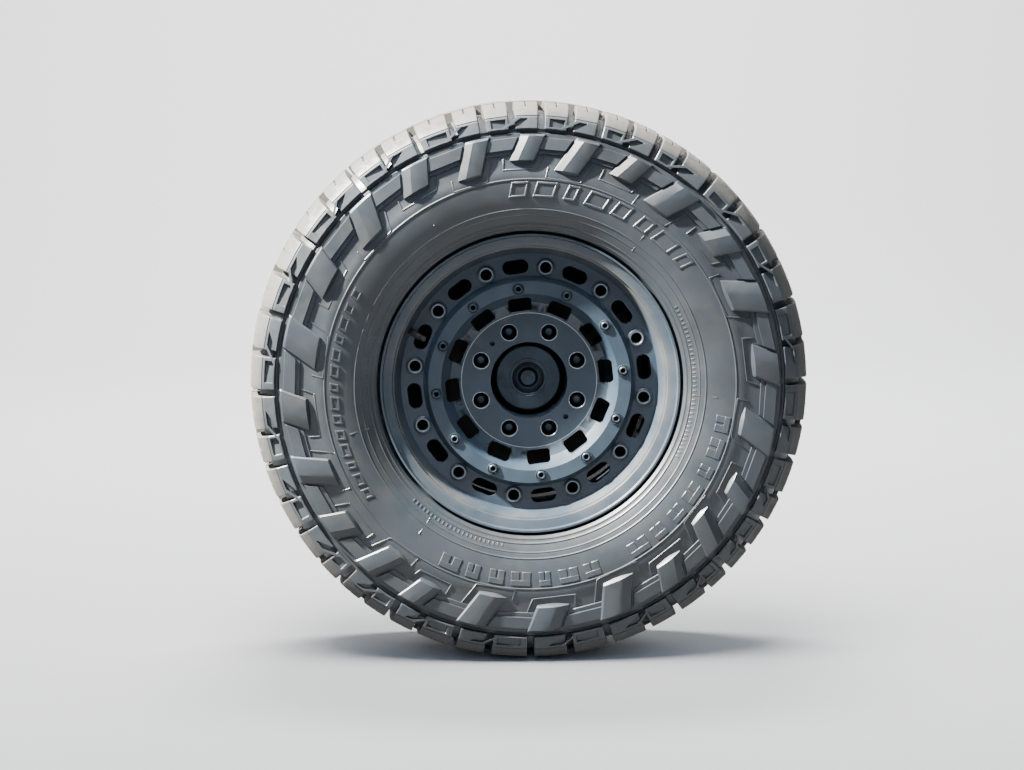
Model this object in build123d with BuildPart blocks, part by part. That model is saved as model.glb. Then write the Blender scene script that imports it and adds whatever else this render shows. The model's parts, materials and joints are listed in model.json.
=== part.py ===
from build123d import *
from math import atan2, cos, degrees, radians, sin
import os

os.makedirs("parts", exist_ok=True)

# Left front wheel end of a lifted off-road 4x4, in millimetres.
# The origin is the centre of the lower ball joint bore. +Z is up, +Y points to
# the vehicle's middle and +X to its rear, so the wheel's face looks along -Y.
# Places along the wheel's axis count from the wheel's mounting face, + inboard.
# Angles round the wheel run clockwise from the top, seen from outside.

# Placing
kingpin_inset = 175.0  # ball joint line, inboard of the mounting face
lower_drop = 130.0  # lower ball joint bore below the wheel's axis
upper_rise = 130.0  # upper ball joint bore above the wheel's axis

# Tyre
tyre_radius = 442.0
tyre_width = 311.0  # over the bare side walls
tread_half = 132.0
tread_fall = 8.0  # fall of the tread from its middle to its edge
crown_half = 62.0  # half width of the middle blocks
crown_groove = 8.0  # groove that parts the middle blocks from the shoulder blocks
crown_slot = 12.0
tread_depth = 16.0
tread_wall = 26.0
side_wall = 11.0
shoulder_slot = 13.0  # gap between two shoulder blocks
shoulder_inset = 4.5  # foot of the shoulder blocks, in from the widest place
shoulder_round = 5.0  # top of the shoulder blocks' side face, in from their foot
shoulder_drop = 23.0  # top of the shoulder blocks' side face, below the tread
groove_drop = 49.0  # groove between shoulder blocks and side lugs, below the tread
groove_width = 6.0
groove_depth = 6.0
widest_drop = 112.0  # widest place of the side wall, below the tread
wall_taper = (15.0, 3.0)  # outward of the widest place: rise along the radius and fall sideways
wall_round = (40.0, 2.0)  # the same, inward of the widest place
bead_bulge = (30.0, 13.0)  # over the rim flange: outward and sideways
bead_corner = (5.0, 1.0)
bead_heel = 14.0
cutter_reach = 20.0  # how far a cutting shape stands out of the tyre
lug_length_long = 61.0
lug_length_short = 47.0
lug_width = 321.0  # over the side lugs of both walls
lug_bevel = 6.0
lug_share = 0.46  # part of each pitch that the lug fills
lug_slant = 25.0
lug_start = 11.9
lug_pitches = "SSMMLLMSSMLLMSSMMLLLMMSS"
pitch_weights = {"S": 12.8, "M": 15.2, "L": 17.2}

# Wheel
wheel_offset = 12.0  # rim's middle, outboard of the mounting face
rim_width = 241.3  # between the flanges
flange_wall = 12.9
flange_radius = 235.6
bead_radius = 218.3
bead_toe = 22.0
well_radius = 200.0
well_slope = 16.0
well_end = 46.0
step_end = 22.0
step_drop = 5.0
barrel_wall = 6.0
bore_radius = 61.0
pad_front = 89.0
pad_radius = 108.0
pad_body = 110.0
pad_skirt = 24.0
pad_base = 100.0
cone_radius = 125.0
cone_front = 95.0
band_inner = 140.0
band_outer = 160.0
band_front = 121.0
ring_front = 106.0
ring_inner = 168.0
ring_outer = 203.5
ring_chamfer = 4.0
lip_foot = 213.5
lip_step = 131.0
lip_roll = (2.5, 1.0)  # from the foot of the lip: outward and outboard
lip_wall = (3.5, 7.0)
lip_edge = (5.0, 4.0)  # from the corner of the flange: inward and inboard
lip_flat = 3.0
face_wall = 14.0
window_count = 12
window_turn = -7.0
window_radius = 122.0
window_size = (37.0, 22.0)
window_corner = 6.0
window_reach = 60.0
pill_radius = 182.5
pill_size = (41.0, 22.0)
ring_bolt_turn = 8.0
ring_bolt_head = 14.2
ring_bolt_rise = 4.0
ring_bolt_socket = 8.0
face_screw_circle = 148.5
face_screw_head = 9.6
face_screw_rise = 3.5
face_screw_socket = 4.5
pilot_screw_hole = 4.0
pilot_screw_depth = 12.0
pilot_screw_turns = (-45.0, 135.0)
back_pocket_circle = 86.0
back_pocket_size = (20.0, 22.0)
back_pocket_corner = 5.0
back_pocket_depth = 66.0

# Valve and balance weights
valve_turn = 293.0
valve_root = (208.0, -107.0)  # radius and place along the axis
valve_tilt = 45.0
valve_radius = 5.0
valve_tail = 9.0
valve_length = 30.0
cap_radius = 4.2
cap_length = 9.0
weight_count = 3
weight_pitch = 5.4
weight_length = 16.0
weight_width = 19.0
weight_thick = 4.5
weight_place = -60.0

# Lugs
lug_count = 8
lug_circle = 82.55
lug_turn = 22.5
pocket_radius = 12.3
seat_depth = 31.0  # cone's wide end, outboard of the mounting face
seat_height = 6.0
stud_radius = 7.0
stud_hole = 8.0
stud_tip = 56.0
stud_head_rim = 3.5
stud_head = 5.0
nut_radius = 10.2
nut_end = 77.0
nut_cap = 5.0
thread_gap = 0.1

# Hub and shaft
nose_radius = 52.5
nose_end = 51.0
nose_chamfer = 2.0
pilot_taper = 3.0
pilot_gap = 0.5
pilot_length = 22.0
hat_wall = 9.0
hub_flange_radius = 94.0
hub_flange_wall = 15.0
spindle_radius = 36.0
spindle_end = 102.0
shaft_radius = 19.0
shaft_gap = 0.5
shaft_tip_radius = 13.0
shaft_tip_inset = 4.0  # behind the hub nose
shaft_tip_chamfer = 1.0
shaft_shoulder = (2.0, 6.0)  # behind the floor of the nut recess: start and end of the taper
shaft_collar = (9.0, 8.0)
shaft_behind = (2.0, 14.0)
yoke_neck = 48.0  # in front of the yoke's cross
yoke_face = 34.0
nut_recess = 25.0
nut_recess_depth = 28.0
axle_nut_size = 36.0  # across flats
axle_nut_height = 13.0
yoke_radius = 46.0
yoke_ear = 18.0
yoke_ear_width = 44.0
yoke_bore = 15.0

# Bearing and brake
running_gap = 0.6
bearing_radius = 61.5
bearing_front = 25.5
bearing_flange = 84.0
bearing_flange_wall = 14.0
bearing_chamfer = 4.0
bearing_tail = 12.0
bearing_bolt_circle = 73.0
bearing_bolt = 6.0
bearing_bolt_head = 9.5
bolt_head_height = 8.0
knuckle_face = 84.0
disc_radius = 165.0
disc_front = 30.0
disc_thick = 36.0
disc_plate = 10.0
disc_inner = 112.0
hat_radius = 103.0
hat_chamfer = 3.0
hat_gap = 0.3  # round the hub's pilot
hat_side = 7.0
vane_count = 24
vane_wall = 5.0
vane_inset = 6.0
pad_gap = 0.5
lining = 10.0
backing = 6.0
pad_inner_radius = 118.0
pad_outer_radius = 163.0
pad_half_angle = 25.0
caliper_inner = 170.0
caliper_outer = 187.0
caliper_back = 128.0
caliper_gap = 5.0  # round the caliper, in the dust shield
finger_front = -4.0
caliper_half_angle = 21.0
caliper_lug_place = 104.0
caliper_lug_wall = 9.0
pad_end_gap = 2.5  # degrees between the pads' ends and the bracket
bracket_wall = 12.0
bracket_post = 6.0  # degrees
bracket_inner = 106.0
bracket_front = 9.0
guide_inset = 9.0  # guide pins, in from the caliper's outer face
guide_radius = 4.5
ear_circle = 128.0
ear_angle = 39.0
ear_radius = 15.0
ear_wall = 18.0
ear_root = 48.0  # length of the ear, in from its bolt
ear_bolt = 6.0
shield_front = 73.0
shield_wall = 1.5
shield_radius = 204.0
shield_lip = 6.0
shield_seat = 2.0  # round the bearing's flange
shield_opening = 11.0  # degrees past the ears

# Knuckle
ring_body = 92.0
knuckle_depth = 28.0
boss_radius = 36.0
boss_half = 22.0
ball_bore = 22.0
upper_bore = 20.0
arm_half = 30.0
arm_root = (66.0, 92.0)  # height of the arms' root over the wheel's axis: low and high
arm_knee = (48.0, 2.0)  # before the boss: outboard and down from its end
arm_heel = (50.0, 22.0)
arm_clear = 3.0
steer_reach = 165.0
steer_inset = 172.0
steer_drop = 30.0
steer_boss = 21.0
steer_hole = 9.0
steer_thick = 30.0
steer_root = 60.0
steer_lean = (8.0, 2.0)  # of the arm's edges at its boss

face_y = -kingpin_inset
axle_z = lower_drop
rim_half = rim_width / 2
lip_front = wheel_offset + rim_half + flange_wall
spin = Axis((0, face_y, axle_z), (0, 1, 0))
guide_circle = caliper_outer - guide_inset
shield_notch = caliper_outer + caliper_gap


def section(shift=0.0):
    # sketch plane through the axis: x is the radius, y is the place along the axis
    return Plane(origin=(0, face_y + shift, axle_z), x_dir=(0, 0, 1), z_dir=(-1, 0, 0))


def facing(place):
    # sketch plane that looks outboard: x is toward the rear, y is up
    return Plane(origin=(0, face_y + place, axle_z), x_dir=(1, 0, 0), z_dir=(0, -1, 0))


def clockwise(turn):
    return 90.0 - turn


def places(count, first):
    return [first + 360.0 * k / count for k in range(count)]


# the valve stands inward and outboard from the barrel, over a pill window
valve_angle = radians(clockwise(valve_turn))
valve_origin = (
    valve_root[0] * cos(valve_angle),
    face_y + valve_root[1],
    axle_z + valve_root[0] * sin(valve_angle),
)
valve_axis = (
    -sin(radians(valve_tilt)) * cos(valve_angle),
    -cos(radians(valve_tilt)),
    -sin(radians(valve_tilt)) * sin(valve_angle),
)
valve_plane = Plane(origin=valve_origin, z_dir=valve_axis)


def save(piece, name):
    piece.part.label = name
    export_step(piece.part, f"parts/{name}.step")


# Tyre: round casing with shoulder blocks cut by slots, and lugs down the sides
tyre_half = tyre_width / 2
tyre_middle = section(-wheel_offset)
lug_half = lug_width / 2
shoulder_half = tyre_half - shoulder_inset
groove_radius = tyre_radius - groove_drop
groove_top = groove_radius + groove_width
lug_root = groove_radius - lug_length_short / 2  # the lugs slant about this radius
floor_radius = tyre_radius - tread_depth
wall_radius = tyre_radius - widest_drop
flange_half = rim_half + flange_wall
with BuildPart() as casing:
    with BuildSketch(tyre_middle):
        with BuildLine():
            Polyline(
                (tyre_radius - tread_wall, 0),
                (tyre_radius, 0),
                (tyre_radius, crown_half),
                (tyre_radius - tread_fall, tread_half),
                (tyre_radius - shoulder_drop, shoulder_half - shoulder_round),
                (groove_top, shoulder_half),
                (groove_radius, shoulder_half - groove_width / 2),
                (wall_radius + wall_taper[0], tyre_half - wall_taper[1]),
                (wall_radius, tyre_half),
                (wall_radius - wall_round[0], tyre_half - wall_round[1]),
                (flange_radius + bead_bulge[0], flange_half + bead_bulge[1]),
                (flange_radius + bead_corner[0], flange_half + bead_corner[1]),
                (flange_radius + 1, rim_half),
                (bead_radius, rim_half),
                (bead_radius, rim_half - bead_toe),
                (flange_radius + bead_heel, rim_half),
                (wall_radius, tyre_half - side_wall),
                (tyre_radius - tread_wall, tread_half - tread_wall),
                close=True,
            )
        make_face()
        mirror(about=Plane.XZ)
    revolve(axis=spin)

pitch_total = sum(pitch_weights[kind] for kind in lug_pitches)
pitches = [360.0 * pitch_weights[kind] / pitch_total for kind in lug_pitches]
lug_places = [lug_start + sum(pitches[:k]) for k in range(len(pitches))]


def cutter(points, width):
    # short piece of a ring at the top of the tyre, whose outline has these (radius, place) points
    with BuildPart() as piece:
        with BuildSketch(tyre_middle):
            with BuildLine():
                Polyline(*points, close=True)
            make_face()
        revolve(axis=spin, revolution_arc=width)
    return piece.part.rotate(spin, -width / 2)


above = tyre_radius + cutter_reach
slot_cut = cutter(
    [
        (floor_radius, crown_half + crown_groove / 2),
        (floor_radius, crown_half + crown_groove),
        (floor_radius - tread_fall, tread_half - tread_fall),
        (groove_top - groove_width / 2, shoulder_half - groove_depth),
        (groove_top - groove_width / 2, shoulder_half + cutter_reach),
        (above, shoulder_half + cutter_reach),
        (above, crown_half + crown_groove / 2),
    ],
    degrees(shoulder_slot / tyre_radius),
)
crown_cut = cutter(
    [
        (floor_radius, 0),
        (floor_radius, crown_half + crown_groove / 2),
        (above, crown_half + crown_groove / 2),
        (above, 0),
    ],
    degrees(crown_slot / tyre_radius),
)

with BuildPart() as ring_grooves:
    with BuildSketch(tyre_middle):
        with BuildLine():
            Polyline(
                (groove_radius, shoulder_half - groove_depth - 2),
                (groove_top, shoulder_half - groove_depth - 2),
                (groove_top, shoulder_half + cutter_reach),
                (groove_radius, shoulder_half + cutter_reach),
                close=True,
            )
        make_face()
        with BuildLine():
            Polyline(
                (floor_radius, crown_half),
                (floor_radius, crown_half + crown_groove),
                (above, crown_half + crown_groove),
                (above, crown_half),
                close=True,
            )
        make_face()
        mirror(about=Plane.XZ)
    revolve(axis=spin)


def side_lug(length, pitch):
    # one side lug at the top of the tyre, as wide as its share of the pitch
    reach = groove_radius - length
    half = radians(pitch) * lug_share * (groove_radius + reach) / 4
    with BuildPart() as lug:
        with BuildSketch(tyre_middle):
            with BuildLine():
                Polyline(
                    (groove_radius + groove_width / 2, shoulder_half - side_wall),
                    (groove_radius + groove_width / 2, shoulder_half + 2),
                    (groove_radius - groove_width, lug_half - 1),
                    (reach + lug_bevel, lug_half),
                    (reach, tyre_half - 2),
                    (reach, tyre_half - side_wall + 2),
                    close=True,
                )
            make_face()
        extrude(amount=half, both=True)
    root = Axis((0, face_y, axle_z + lug_root), (0, 1, 0))
    return lug.part.rotate(root, lug_slant)


lugs = []
cuts = []
for index, (place, pitch) in enumerate(zip(lug_places, pitches)):
    length = lug_length_long if index % 2 == 0 else lug_length_short
    lugs.append(side_lug(length, pitch).rotate(spin, place))
    cuts.append(slot_cut.rotate(spin, place - pitch / 4))
    cuts.append(slot_cut.rotate(spin, place + pitch / 4))
    cuts.append(crown_cut.rotate(spin, place + pitch / 4))

upright = Axis((0, face_y - wheel_offset, axle_z), (0, 0, 1))
with BuildPart() as tyre:
    add(casing.part)
    add([piece.rotate(upright, turn) for piece in cuts for turn in (0, 180)], mode=Mode.SUBTRACT)
    add([piece.rotate(upright, turn) for piece in lugs for turn in (0, 180)])
    add(ring_grooves.part, mode=Mode.SUBTRACT)
save(tyre, "tyre")

# Wheel: barrel, lip, bolt ring, screw band, window cone and pad in one casting
out_flange = -wheel_offset - rim_half
in_flange = -wheel_offset + rim_half
with BuildPart() as wheel_rim:
    with BuildSketch(section()):
        with BuildLine():
            Polyline(
                (flange_radius, -lip_front),
                (flange_radius, out_flange),
                (bead_radius, out_flange),
                (bead_radius, out_flange + bead_toe),
                (well_radius, out_flange + bead_toe + well_slope),
                (well_radius, -well_end),
                (bead_radius - step_drop, -step_end),
                (bead_radius, in_flange - bead_toe),
                (bead_radius, in_flange),
                (flange_radius, in_flange),
                (flange_radius, in_flange + flange_wall),
                (bead_radius - barrel_wall, in_flange + flange_wall),
                (bead_radius - barrel_wall, in_flange - bead_toe),
                (bead_radius - step_drop - barrel_wall, -step_end),
                (well_radius - barrel_wall, -well_end),
                (well_radius - barrel_wall, -ring_front + face_wall),
                (ring_inner, -ring_front + face_wall),
                (band_outer, -band_front + face_wall),
                (band_inner, -band_front + face_wall),
                (cone_radius, -cone_front + face_wall),
                (pad_body, -pad_front + face_wall),
                (pad_body, -pad_skirt),
                (pad_base, 0),
                (bore_radius, 0),
                (bore_radius, -pad_front),
                (pad_radius, -pad_front),
                (cone_radius, -cone_front),
                (band_inner, -band_front),
                (band_outer, -band_front),
                (ring_inner - ring_chamfer, -ring_front - ring_chamfer),
                (ring_inner, -ring_front),
                (ring_outer, -ring_front),
                (lip_foot, -lip_step),
                (lip_foot + lip_roll[0], -lip_step - lip_roll[1]),
                (lip_foot + lip_wall[0], -lip_step - lip_wall[1]),
                (flange_radius - lip_edge[0], -lip_front + lip_edge[1]),
                (flange_radius - lip_flat, -lip_front),
                close=True,
            )
        make_face()
    revolve(axis=spin)
    with BuildSketch(facing(-band_front - 5)):
        for turn in places(window_count, window_turn):
            with PolarLocations(window_radius, 1, clockwise(turn)):
                with Locations(Rotation(0, 0, 90)):
                    RectangleRounded(*window_size, window_corner)
    extrude(amount=-window_reach, mode=Mode.SUBTRACT)
    with BuildSketch(facing(-ring_front - 1)):
        for turn in places(window_count, window_turn):
            with PolarLocations(pill_radius, 1, clockwise(turn)):
                with Locations(Rotation(0, 0, 90)):
                    SlotOverall(*pill_size)
    extrude(amount=-face_wall - 1, mode=Mode.SUBTRACT)
    with BuildSketch(facing(-pad_front - 1)):
        with PolarLocations(lug_circle, lug_count, clockwise(lug_turn)):
            Circle(pocket_radius)
    extrude(amount=-(pad_front + 1 - seat_depth), mode=Mode.SUBTRACT)
    with BuildSketch(facing(-seat_depth)):
        with PolarLocations(lug_circle, lug_count, clockwise(lug_turn)):
            Circle(stud_hole)
    extrude(amount=-seat_depth, mode=Mode.SUBTRACT)
    for turn in places(lug_count, lug_turn):
        angle = radians(clockwise(turn))
        centre = (lug_circle * cos(angle), -seat_depth, lug_circle * sin(angle))
        with Locations(Plane(origin=(centre[0], face_y + centre[1], axle_z + centre[2]), z_dir=(0, 1, 0))):
            Cone(
                nut_radius,
                stud_hole,
                seat_height,
                align=(Align.CENTER, Align.CENTER, Align.MIN),
                mode=Mode.SUBTRACT,
            )
    with BuildSketch(facing(0)):
        for turn in places(lug_count, 0):
            with PolarLocations(back_pocket_circle, 1, clockwise(turn)):
                RectangleRounded(*back_pocket_size, back_pocket_corner)
    extrude(amount=back_pocket_depth, mode=Mode.SUBTRACT)
    with BuildSketch(facing(-pad_front)):
        for turn in pilot_screw_turns:
            with PolarLocations(lug_circle, 1, clockwise(turn)):
                Circle(pilot_screw_hole)
    extrude(amount=-pilot_screw_depth, mode=Mode.SUBTRACT)
    with BuildSketch(valve_plane.offset(-valve_tail)):
        Circle(valve_radius)
    extrude(amount=2 * valve_tail, mode=Mode.SUBTRACT)
save(wheel_rim, "wheel_rim")

with BuildPart() as ring_bolts:
    for turn in places(window_count, ring_bolt_turn):
        with BuildSketch(facing(-ring_front)):
            with PolarLocations(pill_radius, 1, clockwise(turn)):
                Circle(ring_bolt_head)
        extrude(amount=ring_bolt_rise)
        with BuildSketch(facing(-ring_front - 1)):
            with PolarLocations(pill_radius, 1, clockwise(turn)):
                RegularPolygon(ring_bolt_socket, 6)
        extrude(amount=ring_bolt_rise, mode=Mode.SUBTRACT)
save(ring_bolts, "ring_bolts")

with BuildPart() as face_screws:
    for turn in places(window_count, window_turn):
        with BuildSketch(facing(-band_front)):
            with PolarLocations(face_screw_circle, 1, clockwise(turn)):
                Circle(face_screw_head)
        extrude(amount=face_screw_rise)
        with BuildSketch(facing(-band_front - 1)):
            with PolarLocations(face_screw_circle, 1, clockwise(turn)):
                RegularPolygon(face_screw_socket, 6)
        extrude(amount=face_screw_rise, mode=Mode.SUBTRACT)
save(face_screws, "face_screws")


def lug_plane(turn, place):
    angle = radians(clockwise(turn))
    centre = (lug_circle * cos(angle), face_y + place, axle_z + lug_circle * sin(angle))
    return Plane(origin=centre, x_dir=(sin(angle), 0, -cos(angle)), z_dir=(0, -1, 0))


with BuildPart() as lug_nuts:
    for turn in places(lug_count, lug_turn):
        seat = lug_plane(turn, -seat_depth)
        with BuildSketch(seat):
            RegularPolygon(nut_radius, 12)
        extrude(amount=nut_end - seat_depth)
        with BuildSketch(seat):
            Circle(nut_radius)
        extrude(amount=-seat_height, taper=degrees(atan2(nut_radius - stud_hole, seat_height)))
        with BuildSketch(seat.offset(-seat_height)):
            Circle(stud_radius + thread_gap)
        extrude(amount=nut_end - seat_depth + seat_height - nut_cap, mode=Mode.SUBTRACT)
save(lug_nuts, "lug_nuts")

with BuildPart() as wheel_studs:
    for turn in places(lug_count, lug_turn):
        back = hat_wall + hub_flange_wall
        with BuildSketch(lug_plane(turn, back)):
            Circle(stud_radius)
        extrude(amount=back + stud_tip)
        with BuildSketch(lug_plane(turn, back + stud_head)):
            Circle(stud_radius + stud_head_rim)
        extrude(amount=stud_head)
save(wheel_studs, "wheel_studs")

# Hub: nose, pilot, flange and spindle that turn in the bearing
flange_back = hat_wall + hub_flange_wall
recess_floor = -nose_end + nut_recess_depth
with BuildPart() as hub:
    with BuildSketch(section()):
        with BuildLine():
            Polyline(
                (nut_recess, -nose_end),
                (nose_radius - nose_chamfer, -nose_end),
                (nose_radius, -nose_end + nose_chamfer),
                (nose_radius, -pilot_length - pilot_taper),
                (bore_radius - pilot_gap, -pilot_length + pilot_taper),
                (bore_radius - pilot_gap, hat_wall),
                (hub_flange_radius, hat_wall),
                (hub_flange_radius, flange_back),
                (spindle_radius, flange_back),
                (spindle_radius, spindle_end),
                (shaft_radius + shaft_gap, spindle_end),
                (shaft_radius + shaft_gap, recess_floor),
                (nut_recess, recess_floor),
                close=True,
            )
        make_face()
    revolve(axis=spin)
    with BuildSketch(facing(hat_wall)):
        with PolarLocations(lug_circle, lug_count, clockwise(lug_turn)):
            Circle(stud_radius)
    extrude(amount=-hub_flange_wall, mode=Mode.SUBTRACT)
save(hub, "hub")

tip_end = -nose_end + shaft_tip_inset
with BuildPart() as stub_shaft:
    with BuildSketch(section()):
        with BuildLine():
            Polyline(
                (0, tip_end),
                (shaft_tip_radius - shaft_tip_chamfer, tip_end),
                (shaft_tip_radius, tip_end + shaft_tip_chamfer),
                (shaft_tip_radius, recess_floor + shaft_shoulder[0]),
                (shaft_radius, recess_floor + shaft_shoulder[1]),
                (shaft_radius, spindle_end),
                (shaft_radius + shaft_collar[0], spindle_end),
                (shaft_radius + shaft_collar[0], spindle_end + shaft_collar[1]),
                (shaft_radius + shaft_behind[0], spindle_end + shaft_behind[1]),
                (shaft_radius + shaft_behind[0], kingpin_inset - yoke_neck),
                (yoke_radius - 10, kingpin_inset - yoke_face),
                (0, kingpin_inset - yoke_face),
                close=True,
            )
        make_face()
    revolve(axis=spin)
    for side in (-1, 1):
        with BuildSketch(Plane(origin=(side * yoke_radius, 0, axle_z), x_dir=(0, 1, 0), z_dir=(-side, 0, 0))):
            with Locations((-yoke_neck / 2, 0)):
                Rectangle(yoke_neck, yoke_ear_width)
            Circle(yoke_ear_width / 2)
        extrude(amount=yoke_ear)
    with BuildSketch(Plane(origin=(-yoke_radius - 5, 0, axle_z), x_dir=(0, 1, 0), z_dir=(1, 0, 0))):
        Circle(yoke_bore)
    extrude(amount=2 * yoke_radius + 10, mode=Mode.SUBTRACT)
save(stub_shaft, "stub_shaft")

with BuildPart() as axle_nut:
    with BuildSketch(facing(recess_floor)):
        RegularPolygon(axle_nut_size / 2, 6, major_radius=False)
        Circle(shaft_tip_radius + thread_gap, mode=Mode.SUBTRACT)
    extrude(amount=axle_nut_height)
save(axle_nut, "axle_nut")

# Valve at one pill window, and the stick-on weights opposite it that balance it
with BuildPart() as valve_stem:
    with BuildSketch(valve_plane.offset(-valve_tail)):
        Circle(valve_radius)
    extrude(amount=valve_tail + valve_length)
save(valve_stem, "valve_stem")

with BuildPart() as valve_cap:
    with BuildSketch(valve_plane.offset(valve_length)):
        Circle(cap_radius)
    extrude(amount=cap_length)
save(valve_cap, "valve_cap")

with BuildPart() as balance_weights:
    for step in range(weight_count):
        turn = valve_turn + 180.0 + weight_pitch * (step - (weight_count - 1) / 2)
        with BuildSketch(facing(weight_place - weight_width / 2)):
            with PolarLocations(well_radius - barrel_wall - weight_thick / 2 - 0.2, 1, clockwise(turn)):
                Rectangle(weight_thick, weight_length)
        extrude(amount=-weight_width)
save(balance_weights, "balance_weights")

# Brake disc: hat, two plates and the vanes between them
disc_back = disc_front + disc_thick
hat_bore = bore_radius - pilot_gap + hat_gap
with BuildPart() as brake_disc:
    with BuildSketch(section()):
        with BuildLine():
            Polyline(
                (hat_bore, 0),
                (hat_radius - hat_chamfer, 0),
                (hat_radius, hat_chamfer),
                (hat_radius, disc_front),
                (disc_radius, disc_front),
                (disc_radius, disc_front + disc_plate),
                (hat_radius, disc_front + disc_plate),
                (hat_radius - hat_side, disc_front + disc_plate),
                (hat_radius - hat_side, hat_wall),
                (hat_bore, hat_wall),
                close=True,
            )
        make_face()
        with BuildLine():
            Polyline(
                (disc_inner, disc_back - disc_plate),
                (disc_radius, disc_back - disc_plate),
                (disc_radius, disc_back),
                (disc_inner, disc_back),
                close=True,
            )
        make_face()
    revolve(axis=spin)
    with BuildSketch(facing(disc_front + disc_plate)):
        with PolarLocations((disc_inner + disc_radius) / 2, vane_count):
            Rectangle(disc_radius - disc_inner - vane_inset, vane_wall)
    extrude(amount=-(disc_thick - 2 * disc_plate))
    with BuildSketch(facing(0)):
        with PolarLocations(lug_circle, lug_count, clockwise(lug_turn)):
            Circle(stud_hole)
    extrude(amount=-hat_wall, mode=Mode.SUBTRACT)
save(brake_disc, "brake_disc")

# Bearing housing, bolted to the knuckle's outer face
with BuildPart() as hub_bearing:
    with BuildSketch(section()):
        with BuildLine():
            Polyline(
                (spindle_radius + running_gap, bearing_front),
                (bearing_radius - bearing_chamfer, bearing_front),
                (bearing_radius, bearing_front + bearing_chamfer),
                (bearing_radius, knuckle_face - bearing_flange_wall),
                (bearing_flange, knuckle_face - bearing_flange_wall),
                (bearing_flange, knuckle_face),
                (bearing_radius, knuckle_face),
                (bearing_radius, knuckle_face + knuckle_depth - bearing_tail),
                (spindle_radius + running_gap, knuckle_face + knuckle_depth - bearing_tail),
                close=True,
            )
        make_face()
    revolve(axis=spin)
    with BuildSketch(facing(knuckle_face - bearing_flange_wall - 1)):
        with PolarLocations(bearing_bolt_circle, 4, 45):
            Circle(bearing_bolt)
    extrude(amount=-bearing_flange_wall - 2, mode=Mode.SUBTRACT)
save(hub_bearing, "hub_bearing")

with BuildPart() as bearing_bolts:
    with BuildSketch(facing(knuckle_face - bearing_flange_wall)):
        with PolarLocations(bearing_bolt_circle, 4, 45):
            Circle(bearing_bolt)
    extrude(amount=-bearing_flange_wall - knuckle_depth)
    with BuildSketch(facing(knuckle_face + knuckle_depth)):
        with PolarLocations(bearing_bolt_circle, 4, 45):
            RegularPolygon(bearing_bolt_head, 6, major_radius=False)
    extrude(amount=-bolt_head_height)
save(bearing_bolts, "bearing_bolts")

# Knuckle: ring round the bearing, arms to both ball joint bosses, steering arm, caliper ears
knuckle_y = face_y + knuckle_face
steer_y = face_y + steer_inset
with BuildPart() as knuckle:
    with BuildSketch(facing(knuckle_face)):
        Circle(ring_body)
    extrude(amount=-knuckle_depth)
    with BuildSketch(Plane.YZ):
        for side, reach in ((1, upper_rise), (-1, lower_drop)):
            with BuildLine():
                Polyline(
                    (knuckle_y, axle_z + side * arm_root[0]),
                    (knuckle_y, axle_z + side * arm_root[1]),
                    (-arm_knee[0], axle_z + side * (reach + boss_half - arm_knee[1])),
                    (0, axle_z + side * (reach + boss_half)),
                    (0, axle_z + side * (reach - boss_half)),
                    (-ball_bore - arm_clear, axle_z + side * (reach - boss_half)),
                    (-arm_heel[0], axle_z + side * (reach - boss_half - arm_heel[1])),
                    (knuckle_y + knuckle_depth, axle_z + side * arm_root[0]),
                    close=True,
                )
            make_face()
    extrude(amount=arm_half, both=True)
    for height in (axle_z + upper_rise, axle_z - lower_drop):
        with BuildSketch(Plane.XY.offset(height - boss_half)):
            Circle(boss_radius)
        extrude(amount=2 * boss_half)
    with BuildSketch(Plane.XY.offset(axle_z - steer_drop - steer_thick / 2)):
        with BuildLine():
            Polyline(
                (-steer_root, knuckle_y),
                (-steer_root, knuckle_y + knuckle_depth),
                (-steer_reach + steer_lean[0], steer_y + steer_boss - steer_lean[1]),
                (-steer_reach - steer_lean[0], steer_y - steer_boss + steer_lean[1]),
                close=True,
            )
        make_face()
        with Locations((-steer_reach, steer_y)):
            Circle(steer_boss)
    extrude(amount=steer_thick)
    with BuildSketch(facing(knuckle_face)):
        for angle in (-ear_angle, ear_angle):
            with PolarLocations(ear_circle, 1, angle):
                Circle(ear_radius)
            with PolarLocations(ear_circle - ear_root / 2, 1, angle):
                Rectangle(ear_root, 2 * ear_radius)
    extrude(amount=-ear_wall)
    with BuildSketch(facing(knuckle_face)):
        Circle(bearing_radius)
        with PolarLocations(bearing_bolt_circle, 4, 45):
            Circle(bearing_bolt)
    extrude(amount=-knuckle_depth, mode=Mode.SUBTRACT)
    for height, bore in ((0, ball_bore), (axle_z + upper_rise, upper_bore)):
        with BuildSketch(Plane.XY.offset(height - boss_half - 5)):
            Circle(bore)
        extrude(amount=2 * boss_half + 10, mode=Mode.SUBTRACT)
    with BuildSketch(Plane.XY.offset(axle_z - steer_drop - steer_thick)):
        with Locations((-steer_reach, steer_y)):
            Circle(steer_hole)
    extrude(amount=2 * steer_thick, mode=Mode.SUBTRACT)
    with BuildSketch(facing(knuckle_face)):
        for angle in (-ear_angle, ear_angle):
            with PolarLocations(ear_circle, 1, angle):
                Circle(ear_bolt)
    extrude(amount=-ear_wall, mode=Mode.SUBTRACT)
save(knuckle, "knuckle")


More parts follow.
